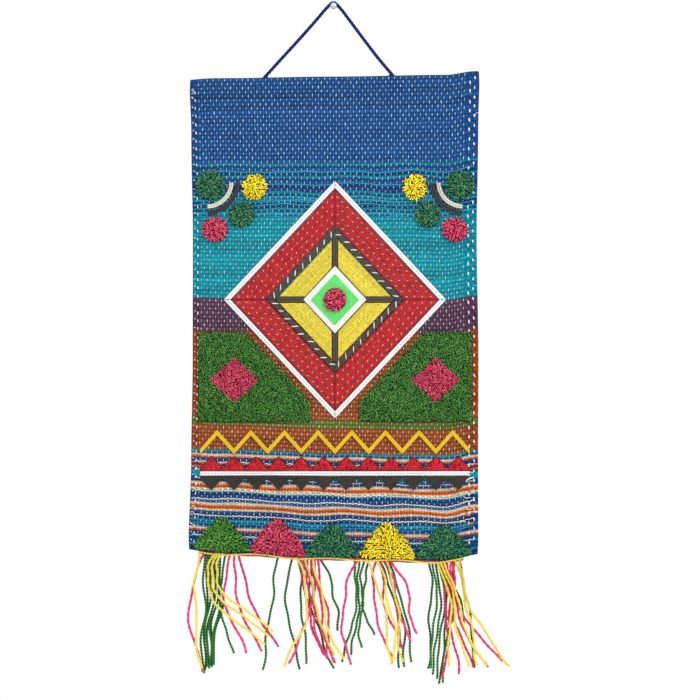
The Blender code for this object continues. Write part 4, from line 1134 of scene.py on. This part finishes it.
def points_over(node, spacing, rng):
    """Points spread over a solid's front: a shaken brick grid, kept where it lies over a face."""
    triangles = front_triangles(node)
    low = triangles.min(axis=(0, 1))
    high = triangles.max(axis=(0, 1))
    xs = np.arange(low[0], high[0], spacing)
    zs = np.arange(low[2], high[2], spacing * 0.87)
    x, z = np.meshgrid(xs, zs)
    x = x + 0.5 * spacing * (np.arange(len(zs))[:, None] % 2)
    x = (x + rng.uniform(-0.32, 0.32, x.shape) * spacing).ravel()
    z = (z + rng.uniform(-0.32, 0.32, z.shape) * spacing).ravel()
    a, b, c = (triangles[:, i] for i in range(3))
    area = (b[:, 0] - a[:, 0]) * (c[:, 2] - a[:, 2]) - (c[:, 0] - a[:, 0]) * (b[:, 2] - a[:, 2])
    px = x[:, None]
    pz = z[:, None]
    share_b = ((px - a[:, 0]) * (c[:, 2] - a[:, 2]) - (c[:, 0] - a[:, 0]) * (pz - a[:, 2])) / area
    share_c = ((b[:, 0] - a[:, 0]) * (pz - a[:, 2]) - (px - a[:, 0]) * (b[:, 2] - a[:, 2])) / area
    inside = (share_b >= 0.0) & (share_c >= 0.0) & (share_b + share_c <= 1.0)
    hit = inside.any(axis=1)
    face = inside.argmax(axis=1)
    index = np.arange(len(x))
    share_b = share_b[index, face]
    share_c = share_c[index, face]
    y = a[face, 1] + share_b * (b[face, 1] - a[face, 1]) + share_c * (c[face, 1] - a[face, 1])
    return np.stack([x, y, z], axis=-1)[hit]


def tufts(bundle, node, settings, rng, fine=1.0, flower=None):
    """Cut pile over one solid: short leaf-shaped ends that rise from the mat and lean out.

    Each end runs from the mat up to the solid's surface and then along it. On a narrow solid all
    ends lean away from a point low in its middle; on a field they lean in slow waves.
    """
    roots = points_over(node, settings.spacing * fine, rng)
    low, high = (np.array(corner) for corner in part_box(node))
    half = 0.5 * (high - low)
    if node.startswith("pile_field"):
        turn = 0.9 * np.sin(ripple(roots[:, 0], roots[:, 2], 34.0 * MM, 6) * math.pi)
    else:
        share = 0.36 if node.startswith("mound") else 0.5
        middle = between(low, high, np.array((0.5, 0.5, share)))
        turn = np.arctan2((roots[:, 0] - middle[0]) / half[0], (roots[:, 2] - middle[2]) / half[2])
    turn = turn + rng.normal(0.0, settings.disorder, len(roots))
    way = np.stack([np.sin(turn), np.zeros(len(roots)), np.cos(turn)], axis=-1)
    lean = settings.lean * fine * rng.uniform(0.8, 1.15, len(roots))[:, None, None]
    run = np.array((-0.42, -0.24, 0.08, 0.46))[None, :, None]
    paths = roots[:, None, :] + way[:, None, :] * run * lean
    rise = np.array((0.85, 0.24, -0.07, 0.16))[None, :] * settings.height
    paths[..., 1] += rise + rng.uniform(-0.5, 0.35, len(roots))[:, None] * MM
    wall = -(front_out(paths[..., 0], paths[..., 2]) + 0.2 * MM)
    paths[..., 1] = np.minimum(paths[..., 1], wall)
    radius = settings.radius * fine * rng.uniform(0.85, 1.12, len(roots))
    radii = radius[:, None] * np.array((0.55, 0.95, 1.0, 0.42))[None, :]
    shade = rng.uniform(-1.0, 1.0, len(roots))
    in_flower = np.zeros(len(roots)) if flower is None else flower(roots).astype(float)
    tubes(bundle, paths, radii, 5 if fine == 1.0 else 4, shade=shade, flower=in_flower)


def pile_mat(bundle, node):
    """The mat that the ends stand in, dark with painted shade: the solid, drawn in below them."""
    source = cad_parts[node]
    merged = bmesh.new()
    merged.from_mesh(source.data)
    bmesh.ops.remove_doubles(merged, verts=merged.verts[:], dist=0.01 * MM)
    points = np.array([vert.co[:] for vert in merged.verts])
    faces = np.array([[vert.index for vert in face.verts] for face in merged.faces])
    merged.free()
    floor = -(front_out(points[:, 0], points[:, 2]) + 0.3 * MM)
    points[:, 1] = np.where(points[:, 1] < floor - 1.0 * MM, floor + (points[:, 1] - floor) * 0.6, floor)
    # along 0 puts the mat in the pile's deepest painted shade
    bundle.add(points, None, faces, along=0.0, crown=0.0, shade=0.0, flower=0.0)


def pile_finish(name, colour, flower_colour=None):
    """Wool pile: each end its own tone, in painted shade where it stands in the others, pale at its cut tip, with a
    painted highlight on its outward side.
    """
    bench = Bench(name, roughness=0.8, sheen=0.06, specular=0.3)
    fibres = bench.noise(1000.0, 3.0)
    clumps = bench.noise(150.0, 2.0).clamped(0.32, 0.6, -0.20, 0.20)
    tone = 0.80 + fibres * 0.46 + bench.value("shade") * 0.27 + clumps
    # Painted shade: deep toward the root of each end, where it stands in the others
    tone = tone * bench.value("along").clamped(0.16, 0.62, 0.10, 1.0)
    # Painted highlight on each end's outward side, painted shade on its flanks
    tone = tone * bench.value("crown").clamped(0.25, 1.0, 0.42, 1.34)
    if flower_colour is not None:
        colour = bench.mix(colour, flower_colour, bench.value("flower"))
    sunny = bench.mix(colour, (0.85, 0.80, 0.36), 0.10)
    colour = bench.mix(colour, sunny, bench.value("shade").clamped(0.0, 1.0))
    return bench.finish(bench.scaled(colour, tone), fibres, 0.3 * MM)


def smooth_route(route, count):
    """Points along a Catmull-Rom curve through a route's own points."""
    points = np.array([(point.x, -point.out, point.z) for point in route])
    ends = np.concatenate([points[:1], points, points[-1:]])
    place = np.linspace(0.0, len(route) - 1.0, count)
    span = np.minimum(place.astype(int), len(route) - 2)
    share = (place - span)[:, None]
    b, s, e, a = (ends[span + i] for i in range(4))
    cubic = (3.0 * s - b - 3.0 * e + a) * share ** 3
    square = (2.0 * b - 5.0 * s + 4.0 * e - a) * share ** 2
    return 0.5 * (2.0 * s + (e - b) * share + square + cubic)


def fringe_paths(layer, stations):
    """The strands of one colour, on the same lines as their solid, and each one's row in the table."""
    rng = random.Random(STRAND_SEED + layer.layer)
    share = np.linspace(0.0, 1.0, stations)
    paths = []
    bunches = []
    for number, row in enumerate(FRINGE):
        if row.colour != layer.colour:
            continue
        for index in range(row.strands):
            place = index / max(1, row.strands - 1)
            root_x = between(row.root_left, row.root_right, place) * MM
            tip_x = between(row.tip_left, row.tip_right, place) * MM
            bow = between(row.bow_left, row.bow_right, place) * MM
            length = between(row.long_left, row.long_right, place) * MM * rng.uniform(0.97, 1.02)
            side = 1 - 2 * (len(paths) % 2)
            phase = rng.uniform(0.0, math.tau)
            root_z = cloth_bottom(root_x) - GAP - ROOT_DEPTH
            root_out = front_out(root_x, root_z) - 0.5 * CLOTH_THICKNESS
            x = between(root_x, tip_x, 0.3 * share + 0.7 * share ** 2)
            x = x + bow * np.sin(math.pi * share ** 0.8)
            x = x + STRAND_SWAY * np.sin(math.tau * STRAND_TWISTS * share + phase) * share * (1.0 - 0.5 * share)
            spread = smooth_step(share / SPREAD_DONE)
            pitch = between(FRINGE_LAYER_PITCH, FRINGE_SPREAD_PITCH, spread)
            out = root_out + STRAND_FORWARD * spread + layer.layer * pitch
            out = out + side * spread * 0.25 * FRINGE_SPREAD_PITCH
            paths.append(np.stack([x, -out, root_z - length * share], axis=-1))
            bunches.append(number)
    return np.array(paths), np.array(bunches)


# Settings

class HangingWeave(bpy.types.PropertyGroup):
    """Sizes of the weave."""

    rows: IntProperty(name="Weft rows", description="Rows of weft down the cloth", default=116)
    columns: IntProperty(name="Warp columns", description="Columns of warp across the cloth", default=99)
    seed: IntProperty(name="Seed", description="Start of the weave's unevenness", default=11)
    relief: FloatProperty(
        name="Row relief", description="How deep the valleys between weft rows are",
        default=1.0 * MM, unit="LENGTH", precision=5,
    )
    undulation: FloatProperty(
        name="Undulation", description="How far the weft dips and rises at each warp",
        default=0.22 * MM, unit="LENGTH", precision=5,
    )
    gap_shade: FloatProperty(
        name="Gap shade", description="How dark the weft is in the gaps beside a warp end",
        default=0.62, subtype="FACTOR",
    )
    warp_length: FloatProperty(
        name="Warp float", description="Length of the warp where it shows over a row",
        default=3.3 * MM, unit="LENGTH", precision=5,
    )
    warp_width: FloatProperty(
        name="Warp width", description="Width of a warp end",
        default=1.02 * MM, unit="LENGTH", precision=5,
    )


class HangingPile(bpy.types.PropertyGroup):
    """Sizes and colours of the cut pile."""

    spacing: FloatProperty(
        name="Spacing", description="Distance between pile ends",
        default=2.3 * MM, unit="LENGTH", precision=5,
    )
    radius: FloatProperty(
        name="End radius", description="Half the width of a pile end",
        default=0.92 * MM, unit="LENGTH", precision=5,
    )
    height: FloatProperty(
        name="End length", description="How far a pile end reaches back into the mat",
        default=4.6 * MM, unit="LENGTH", precision=5,
    )
    lean: FloatProperty(
        name="Lean", description="How far a pile end leans sideways",
        default=4.0 * MM, unit="LENGTH", precision=5,
    )
    disorder: FloatProperty(
        name="Disorder", description="How unevenly the pile ends lean, as an angle",
        default=0.5, subtype="ANGLE",
    )
    green: FloatVectorProperty(
        name="Green", description="Mid green wool", subtype="COLOR", default=dye(62, 132, 44),
    )
    field_green: FloatVectorProperty(
        name="Field green", description="Green wool of the two fields", subtype="COLOR", default=dye(58, 122, 44),
    )
    dark_green: FloatVectorProperty(
        name="Dark green", description="Dark green wool", subtype="COLOR", default=dye(32, 112, 78),
    )
    magenta: FloatVectorProperty(
        name="Magenta", description="Magenta wool", subtype="COLOR", default=dye(206, 56, 98),
    )
    yellow: FloatVectorProperty(
        name="Yellow", description="Yellow wool", subtype="COLOR", default=dye(238, 214, 26),
    )


class HangingStage(bpy.types.PropertyGroup):
    """Camera and light."""

    distance: FloatProperty(
        name="Camera distance", description="From the camera to the wall",
        default=2.5, unit="LENGTH",
    )
    view_width: FloatProperty(
        name="View width", description="Width of the picture at the wall",
        default=0.7462, unit="LENGTH", precision=4,
    )
    middle_x: FloatProperty(
        name="View middle X", description="X at the picture's middle",
        default=0.0176, unit="LENGTH", precision=4,
    )
    middle_z: FloatProperty(
        name="View middle Z", description="Z at the picture's middle",
        default=-0.3655, unit="LENGTH", precision=4,
    )
    key_power: FloatProperty(name="Key light", description="Power of the key light in watts", default=22.0)
    fill_power: FloatProperty(name="Fill light", description="Power of the fill light in watts", default=7.0)


class HANGING_OT_stage(bpy.types.Operator):
    """Camera, lights, floor and background"""

    bl_idname = "hanging.stage"
    bl_label = "Set the stage"

    def execute(self, context):
        settings = context.scene.hanging_stage
        camera_data = bpy.data.cameras.new("camera")
        camera_data.sensor_width = 36.0
        camera_data.lens = 36.0 * settings.distance / settings.view_width
        camera = bpy.data.objects.new("camera", camera_data)
        camera.location = (settings.middle_x, -settings.distance, settings.middle_z)
        camera.rotation_euler = (math.pi / 2.0, 0.0, 0.0)
        context.scene.collection.objects.link(camera)
        context.scene.camera = camera
        self.add_area(context, "key", (0.75, -1.5, 0.75), 0.8, settings.key_power)
        self.add_area(context, "fill", (-1.1, -1.7, -0.3), 1.4, settings.fill_power)
        self.add_area(context, "back", (0.3, 1.4, 0.5), 1.2, settings.fill_power)
        self.add_floor(context)
        self.set_world(context)
        return {"FINISHED"}

    def add_area(self, context, name, place, size, power):
        """A square soft light that looks at the hanging's middle."""
        data = bpy.data.lights.new(name, "AREA")
        data.energy = power
        data.size = size
        light = bpy.data.objects.new(name, data)
        light.location = place
        target = np.array((0.0, 0.0, -0.35)) - np.array(place)
        flat = math.hypot(target[0], target[1])
        light.rotation_euler = (math.atan2(flat, -target[2]), 0.0, math.atan2(-target[0], target[1]))
        context.scene.collection.objects.link(light)

    def add_floor(self, context):
        """A pale floor below the hanging."""
        bpy.ops.mesh.primitive_plane_add(size=2.4, location=(0.0, -0.4, -0.95))
        floor = context.object
        floor.name = "floor"
        bench = Bench("floor_paint", roughness=0.9)
        floor.data.materials.append(bench.finish((0.86, 0.86, 0.86)))

    def set_world(self, context):
        """White behind the hanging, and a softer white as its light."""
        world = bpy.data.worlds.new("studio")
        world.use_nodes = True
        tree = world.node_tree
        tree.nodes.clear()
        seen = tree.nodes.new("ShaderNodeBackground")
        seen.inputs["Color"].default_value = (1.0, 1.0, 1.0, 1.0)
        seen.inputs["Strength"].default_value = 1.0
        light = tree.nodes.new("ShaderNodeBackground")
        light.inputs["Color"].default_value = (1.0, 1.0, 1.0, 1.0)
        light.inputs["Strength"].default_value = 0.56
        rays = tree.nodes.new("ShaderNodeLightPath")
        either = tree.nodes.new("ShaderNodeMixShader")
        output = tree.nodes.new("ShaderNodeOutputWorld")
        tree.links.new(rays.outputs["Is Camera Ray"], either.inputs[0])
        tree.links.new(light.outputs[0], either.inputs[1])
        tree.links.new(seen.outputs[0], either.inputs[2])
        tree.links.new(either.outputs[0], output.inputs["Surface"])
        context.scene.world = world
        context.scene.view_settings.view_transform = "Standard"


class HANGING_OT_cord(bpy.types.Operator):
    """Twisted cord over the screw"""

    bl_idname = "hanging.cord"
    bl_label = "Lay the cord"

    def execute(self, context):
        route = smooth_route(self.into_hem(CORD_ROUTE), 340)[None]
        bundle = Bundle()
        plies = plied(route, 0.62 * MM, 12.0 * MM, 3)
        tubes(bundle, plies, 1.24 * MM, 10, shade=np.array((-0.3, 0.35, 0.0)))
        self.split_ends(bundle, route[0])
        bench = Bench("cord_navy", roughness=0.62, specular=0.18)
        fibres = bench.noise(1300.0, 3.0)
        tone = 0.7 + fibres * 0.5 + bench.value("shade") * 0.15
        # Painted highlight along each ply's outward side, painted shade at its flanks
        tone = tone * bench.value("crown").clamped(0.2, 1.0, 0.62, 1.15)
        material = bench.finish(bench.scaled(dye(14, 26, 96), tone), fibres, 0.2 * MM)
        cord = settle(bundle.build("twisted_cord", material), "cord", "hanging_cord")
        return {"FINISHED"}


    def into_hem(self, route):
        """The route with its first and last points carried on between the hem's two layers."""
        longer = list(route)
        for end, beside in ((0, 1), (-1, -2)):
            here = np.array(route[end])
            step = here - np.array(route[beside])
            step[1] = 0.0
            entry = here + step / np.linalg.norm(step) * CORD_TUCK
            longer.insert(0 if end == 0 else len(longer), RoutePoint(*entry))
        return longer

    def split_ends(self, bundle, route):
        """Near each end one strand of the cord parts from the rest and enters the hem beside it."""
        for end, inward in ((0, 1.0), (-1, -1.0)):
            start = route[CORD_SPLIT] if end == 0 else route[-1 - CORD_SPLIT]
            finish = route[end] + np.array((inward * 5.2 * MM, 0.0, 0.6 * MM))
            share = np.linspace(0.0, 1.0, 26)[:, None]
            strand = between(start[None], finish[None], share ** 1.15)
            strand = strand + np.array((inward * 0.8 * MM, 0.0, 0.0)) * np.sin(math.pi * share)
            tubes(bundle, strand[None], 0.95 * MM, 8, shade=np.array((0.1,)))


class HANGING_OT_screw(bpy.types.Operator):
    """Zinc finish for the wall screw, with painted shade in its head's recess"""

    bl_idname = "hanging.screw"
    bl_label = "Finish the screw"

    def execute(self, context):
        bench = Bench("screw_zinc", roughness=0.32, specular=0.5, metallic=1.0)
        worn = bench.noise(900.0, 3.0)
        colour = bench.mix(dye(176, 178, 182), dye(226, 228, 232), worn)
        place = bench.node("ShaderNodeSeparateXYZ", inputs={0: bench.place()}, output="Y")
        # Painted shade: the recess in the screw's head is darkened by its place in the head
        inside = (place * -1.0 - SHANK_LENGTH).clamped(0.30 * HEAD_HEIGHT, 0.62 * HEAD_HEIGHT, 1.0, 0.0)
        across = bench.node("ShaderNodeVectorMath", {"operation": "LENGTH"}, {0: bench.flat_place()}, "Value")
        recess_shade = inside * across.clamped(0.66 * HEAD_RADIUS, 0.72 * HEAD_RADIUS, 1.0, 0.0)
        colour = bench.mix(colour, (0.01, 0.01, 0.012), recess_shade * 0.92)
        material = bench.finish(colour, worn, 0.05 * MM, worn.clamped(0.3, 0.5, 0.25, 0.45))
        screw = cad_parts["wall_screw"]
        for index in range(len(screw.material_slots)):
            screw.material_slots[index].material = material
        return {"FINISHED"}


class HANGING_OT_cloth(bpy.types.Operator):
    """Woven cloth with its warp ends and hem stitches"""

    bl_idname = "hanging.cloth"
    bl_label = "Weave the cloth"

    def execute(self, context):
        settings = context.scene.hanging_weave
        cloth = settle(woven_cloth(settings), "woven_cloth", "cloth")
        warp = settle(warp_ends(settings), "woven_cloth")
        stitches = settle(hem_stitches(), "woven_cloth")
        back_stitches = settle(hem_back_stitches(), "woven_cloth")
        wavy = settle(wavy_yarns(settings), "woven_cloth")
        return {"FINISHED"}


class HANGING_OT_loose_ends(bpy.types.Operator):
    """Yarn and thread ends left where rows and seams stop"""

    bl_idname = "hanging.loose_ends"
    bl_label = "Leave the loose ends"

    def execute(self, context):
        rng = np.random.default_rng(81)
        bundle = Bundle()
        share = np.linspace(0.0, 1.0, 14)
        for end in LOOSE_ENDS:
            start = np.array((end.x, end.z)) * MM
            reach = np.array((end.reach_x, end.reach_z)) * MM * 0.8
            side = np.array((-reach[1], reach[0])) * end.curl * 0.7
            flat = start + reach * share[:, None] + side * np.sin(math.pi * share ** 0.8)[:, None]
            lift = end.radius * MM + 1.2 * MM * np.sin(math.pi * share) + rng.uniform(0.0, 0.4) * MM
            tubes(
                bundle, on_cloth(flat, lift)[None], end.radius * MM, 5,
                shade=np.zeros(1), dye=np.array(end.colour)[None],
            )
        bench = Bench("loose_yarn", roughness=0.85)
        fibres = bench.noise(1200.0, 3.0)
        material = bench.finish(bench.scaled(bench.colour("dye"), 0.72 + fibres * 0.5), fibres, 0.15 * MM)
        settle(bundle.build("loose_ends", material), "woven_cloth")
        return {"FINISHED"}


class HANGING_OT_lozenge(bpy.types.Operator):
    """Braids, laid yarn and felt of the lozenge"""

    bl_idname = "hanging.lozenge"
    bl_label = "Sew the lozenge"

    def execute(self, context):
        rng = np.random.default_rng(31)
        self.braids(rng)
        self.panels(rng)
        self.felts()
        return {"FINISHED"}

    def braids(self, rng):
        """White outer ring and lower rail, charcoal inner ring and bars."""
        white = Bundle()
        charcoal = Bundle()
        whips = Bundle()
        sewing = Bundle()
        for quarter in QUARTERS:
            outer, inner = ring_edges(quarter, *WHITE_RING, 250)
            plait(outer, inner, white)
            outer, inner = ring_edges(quarter, *CHARCOAL_RING, 150)
            plait(outer, inner, charcoal, relief=0.22)
            start = 0.5 * (outer[0] + inner[0])
            end = 0.5 * (outer[-1] + inner[-1])
            running_stitches(whips, start, end, 10.0 * MM, 9.0 * MM, 0.55 * MM, rng, 2.3 * MM, 0.8)
            outer, inner = ring_edges(quarter, *WHITE_RING, 2)
            centre = 0.5 * (outer + inner)
            running_stitches(sewing, centre[0], centre[1], 3.5 * MM, 1.7 * MM, 0.34 * MM, rng, 2.0 * MM)
        for edge_a, edge_b in bar_edges().values():
            plait(edge_a, edge_b, charcoal, relief=0.22)
        left = CLOTH_MID_X - BORDER_HALF_WIDTH
        right = CLOTH_MID_X + BORDER_HALF_WIDTH
        half = 0.5 * RAIL_WIDTH
        plait(line((left, RAIL_Z + half), (right, RAIL_Z + half), 420),
              line((left, RAIL_Z - half), (right, RAIL_Z - half), 420), white)
        nodes = [f"white_braid_{quarter}" for quarter in QUARTERS] + ["white_rail"]
        piece = white.build("white_braid", braid_finish("braid_white", dye(250, 250, 250), dark=0.72))
        settle(piece, "white_braid", *nodes)
        nodes = [f"charcoal_braid_{quarter}" for quarter in QUARTERS] + [f"bar_{name}" for name in bar_edges()]
        piece = charcoal.build("charcoal_braid", braid_finish("braid_charcoal", dye(84, 72, 64)))
        settle(piece, "charcoal_braid", *nodes)
        running_stitches(sewing, (left, RAIL_Z), (right, RAIL_Z), 3.5 * MM, 1.7 * MM, 0.34 * MM, rng, 2.0 * MM)
        settle(sewing.build("braid_sewing", thread_finish("grey_thread", dye(176, 174, 172))), "white_braid")
        settle(whips.build("whip_stitches", thread_finish("whip_thread", dye(252, 251, 246))), "white_braid")

    def panels(self, rng):
        """Red and yellow laid yarn, the red held down by rows of small stitches."""
        red = Bundle()
        yellow = Bundle()
        couching = Bundle()
        for index, quarter in enumerate(QUARTERS):
            outer, inner = ring_edges(quarter, *RED_RING, 64)
            laid_yarn(outer, inner, red, 18, 40 + index)
            for share in (0.14, 0.38, 0.62, 0.86):
                start = between(outer[0], inner[0], share)
                end = between(outer[-1], inner[-1], share)
                running_stitches(couching, start, end, 7.6 * MM, 3.0 * MM, 0.40 * MM, rng, 1.85 * MM, 0.6)
            outer, inner = yellow_edges(quarter, 40)
            laid_yarn(outer, inner, yellow, 10, 60 + index)
        piece = red.build("red_laid_yarn", laid_finish("yarn_red", dye(226, 40, 48), dye(238, 76, 76), 9.0 * MM, 0.50))
        settle(piece, "red_yarn", *[f"red_panel_{quarter}" for quarter in QUARTERS])
        settle(couching.build("couching_stitches", thread_finish("couching_thread", dye(248, 206, 186))), "red_yarn")
        finish = laid_finish("yarn_yellow", dye(255, 232, 56), dye(255, 252, 200), 3.0 * MM, 0.40, 0.82)
        piece = yellow.build("yellow_laid_yarn", finish)
        settle(piece, "yellow_yarn", *[f"yellow_panel_{quarter}" for quarter in QUARTERS])

    def felts(self):
        """White and green felt at the middle."""
        white = felt_finish("felt_white", dye(244, 244, 240), 0.3)
        green = felt_finish("felt_green", dye(104, 228, 116), 0.35)
        settle(node_copy("white_felt", "centre_white_felt", white, 0.35 * MM), "white_felt", "centre_white_felt")
        settle(node_copy("green_felt", "centre_green_felt", green, 0.35 * MM), "green_felt", "centre_green_felt")


class HANGING_OT_pile(bpy.types.Operator):
    """Cut wool pile of the mounds, fields, fans and button"""

    bl_idname = "hanging.pile"
    bl_label = "Hook the pile"

    def execute(self, context):
        settings = context.scene.hanging_pile
        groups = (
            ("green_pile", settings.green, ("mound_green",)),
            ("field_pile", settings.field_green, ("pile_field_left", "pile_field_right")),
            ("dark_green_pile", settings.dark_green, (
                "mound_dark_green", "mound_deep_green", "fan_rosette_left", "fan_rosette_right",
                "fan_tuft_green_left", "fan_tuft_green_right",
            )),
            ("magenta_pile", settings.magenta, (
                "mound_magenta", "fan_tuft_magenta_left", "fan_tuft_magenta_right", "centre_button",
            )),
            ("yellow_pile", settings.yellow, ("mound_yellow", "fan_tuft_yellow_left", "fan_tuft_yellow_right")),
        )
        for index, (name, colour, nodes) in enumerate(groups):
            rng = np.random.default_rng(70 + index)
            bundle = Bundle()
            fine = 0.88 if name == "field_pile" else 1.0
            for node in nodes:
                flower = self.lozenge_in(node) if node.startswith("pile_field") else None
                tufts(bundle, node, settings, rng, fine, flower)
                pile_mat(bundle, node)
            flower_colour = settings.magenta if name == "field_pile" else None
            piece = bundle.build(name, pile_finish(f"wool_{name}", colour, flower_colour))
            settle(piece, "green_pile" if name == "field_pile" else name, *nodes)
        return {"FINISHED"}

    def lozenge_in(self, node):
        """Where a field's pile is magenta: a lozenge in the field's outer half."""
        low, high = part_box(node)
        outer = 0.68 if "right" in node else 0.32
        x = between(low[0], high[0], outer)
        z = between(low[2], high[2], 0.46)
        return lambda points: np.abs(points[:, 0] - x) / (26.0 * MM) + np.abs(points[:, 2] - z) / (24.0 * MM) < 1.0


class HANGING_OT_fans(bpy.types.Operator):
    """Couched cords of the corner fans"""

    bl_idname = "hanging.fans"
    bl_label = "Couch the fan cords"

    def execute(self, context):
        angle = FAN_START + FAN_SWEEP * np.linspace(0.0, 1.0, 70)
        rng = np.random.default_rng(51)
        for name, radius, colour in (
            ("cream_cord", FAN_CREAM_RADIUS, dye(232, 222, 196)),
            ("charcoal_cord", FAN_CHARCOAL_RADIUS, dye(66, 62, 60)),
        ):
            bundle = Bundle()
            for side in (1.0, -1.0):
                for shift in (-FAN_CORD_RADIUS, FAN_CORD_RADIUS):
                    reach = radius + shift
                    x = CLOTH_MID_X + side * (FAN_CENTRE_X + reach * np.cos(angle))
                    z = FAN_CENTRE_Z + reach * np.sin(angle)
                    path = on_cloth(np.stack([x, z], axis=-1), FAN_CORD_RADIUS)[None]
                    plies = plied(path, 0.55 * MM, 5.0 * MM, 2)
                    tubes(bundle, plies, 0.72 * MM, 6, shade=rng.uniform(-1.0, 1.0, len(plies)))
            piece = bundle.build(name, yarn_finish(f"yarn_{name}", colour, 1000.0, 0.9))
            settle(piece, name, f"fan_{name}_left", f"fan_{name}_right")
        return {"FINISHED"}


class HANGING_OT_borders(bpy.types.Operator):
    """Gold zigzag and felt sawteeth"""

    bl_idname = "hanging.borders"
    bl_label = "Sew the borders"

    def execute(self, context):
        turns = np.arange(ZIGZAG_TURNS + 1)
        x = CLOTH_MID_X - BORDER_HALF_WIDTH + 2.0 * BORDER_HALF_WIDTH / ZIGZAG_TURNS * turns
        z = np.where(turns % 2 == 1, ZIGZAG_TOP_Z, ZIGZAG_BOTTOM_Z)
        bundle = Bundle()
        for index in range(ZIGZAG_TURNS):
            upper = line((x[index], z[index]), (x[index + 1], z[index + 1]), 36)
            lower = upper - np.array((0.0, ZIGZAG_DROP))
            plait(upper, lower, bundle)
        piece = bundle.build("gold_braid", braid_finish("braid_gold", dye(250, 204, 30), dark=0.6))
        settle(piece, "gold_braid", "gold_zigzag")
        red = felt_finish("felt_red", dye(210, 42, 54), 2.2, 0.72)
        black = felt_finish("felt_black", dye(60, 58, 54), 1.6)
        settle(node_copy("red_felt", "red_sawteeth", red, 0.3 * MM), "red_felt", "red_sawteeth")
        settle(node_copy("black_felt", "black_sawteeth", black, 0.3 * MM), "black_felt", "black_sawteeth")
        edges = Bundle()
        outline_threads(edges, "red_sawteeth", 0.42 * MM)
        piece = edges.build("sawtooth_edging", yarn_finish("edging_dark", dye(44, 22, 22), 1400.0, 1.0))
        settle(piece, "black_felt")
        return {"FINISHED"}


class HANGING_OT_fringe(bpy.types.Operator):
    """Fringe strands and their edging yarns"""

    bl_idname = "hanging.fringe"
    bl_label = "Knot the fringe"

    def execute(self, context):
        colours = {
            "green": ("green_yarn", dye(44, 124, 44)),
            "magenta": ("magenta_yarn", dye(238, 66, 130)),
            "yellow": ("pale_yellow_yarn", dye(244, 222, 84)),
        }
        for layer in FRINGE_LAYERS:
            slot, colour = colours[layer.colour]
            rng = np.random.default_rng(90 + layer.layer)
            bundle = Bundle()
            paths = self.kinked(*fringe_paths(layer, layer.stations), rng)
            plies = plied(paths, layer.ply_offset, layer.lay_length, 2, 0.7)
            shade = np.tile(rng.uniform(-1.0, 1.0, len(paths)), 2)
            tubes(bundle, plies, layer.ply_radius, layer.sides, shade=shade)
            x = np.linspace(FRINGE_STRIP_LEFT, FRINGE_STRIP_RIGHT, 300)
            wander = np.sin(math.tau * (x / EDGING_WANDER_PITCH + layer.layer / 3.0))
            z = cloth_bottom(x) - GAP - 1.1 * MM + EDGING_WANDER * wander
            out = front_out(x, z) - 0.5 * CLOTH_THICKNESS + layer.layer * FRINGE_LAYER_PITCH
            edging = np.stack([x, -out, z], axis=-1)[None]
            plies = plied(edging, 0.42 * MM, 7.0 * MM, 2)
            tubes(bundle, plies, EDGING_RADIUS, 6, shade=np.zeros(2))
            piece = bundle.build(f"{layer.colour}_fringe", yarn_finish(f"fringe_{layer.colour}", colour, 1000.0, 0.82))
            settle(piece, slot, f"fringe_{layer.colour}")
        return {"FINISHED"}


    def kinked(self, paths, bunches, rng):
        """Bends along each strand, none at its root; the strands of a bunch bend much alike."""
        share = np.linspace(0.0, 1.0, paths.shape[1])[None, :]
        grown = smooth_step(share / 0.25)
        count = len(paths)
        for waves, reach in ((1.5, 2.1 * MM), (3.7, 0.5 * MM)):
            pace = waves * rng.uniform(0.75, 1.25, (len(FRINGE), 1))[bunches]
            phase = rng.uniform(0.0, math.tau, (2, len(FRINGE), 1))[:, bunches]
            phase = phase + rng.normal(0.0, 0.9, (2, count, 1))
            paths[..., 0] += reach * grown * np.sin(math.tau * pace * share + phase[0])
            paths[..., 1] += 0.4 * reach * grown * np.sin(math.tau * pace * share + phase[1])
        return paths


class HANGING_PT_panel(bpy.types.Panel):
    """Steps that make the hanging"""

    bl_idname = "HANGING_PT_panel"
    bl_label = "Wall Hanging"
    bl_space_type = "VIEW_3D"
    bl_region_type = "UI"
    bl_category = "Wall Hanging"

    def draw(self, context):
        for group in (context.scene.hanging_weave, context.scene.hanging_pile, context.scene.hanging_stage):
            box = self.layout.box()
            for name in group.__annotations__:
                box.prop(group, name)
        for step in STEPS:
            self.layout.operator(step.bl_idname)


STEPS = (
    HANGING_OT_stage,
    HANGING_OT_cord,
    HANGING_OT_screw,
    HANGING_OT_cloth,
    HANGING_OT_loose_ends,
    HANGING_OT_lozenge,
    HANGING_OT_pile,
    HANGING_OT_fans,
    HANGING_OT_borders,
    HANGING_OT_fringe,
)
GROUPS = {
    "hanging_weave": HangingWeave,
    "hanging_pile": HangingPile,
    "hanging_stage": HangingStage,
}


def register():
    """Add the settings, steps and panel to Blender."""
    for group in GROUPS.values():
        bpy.utils.register_class(group)
    for name, group in GROUPS.items():
        setattr(bpy.types.Scene, name, PointerProperty(type=group))
    for step in STEPS:
        bpy.utils.register_class(step)
    bpy.utils.register_class(HANGING_PT_panel)


def unregister():
    """Take them out again."""
    bpy.utils.unregister_class(HANGING_PT_panel)
    for step in reversed(STEPS):
        bpy.utils.unregister_class(step)
    for name, group in GROUPS.items():
        delattr(bpy.types.Scene, name)
        bpy.utils.unregister_class(group)


def main():
    """Make the hanging, step by step."""
    register()
    for step in STEPS:
        family, name = step.bl_idname.split(".")
        getattr(getattr(bpy.ops, family), name)()


if __name__ == "__main__":
    main()
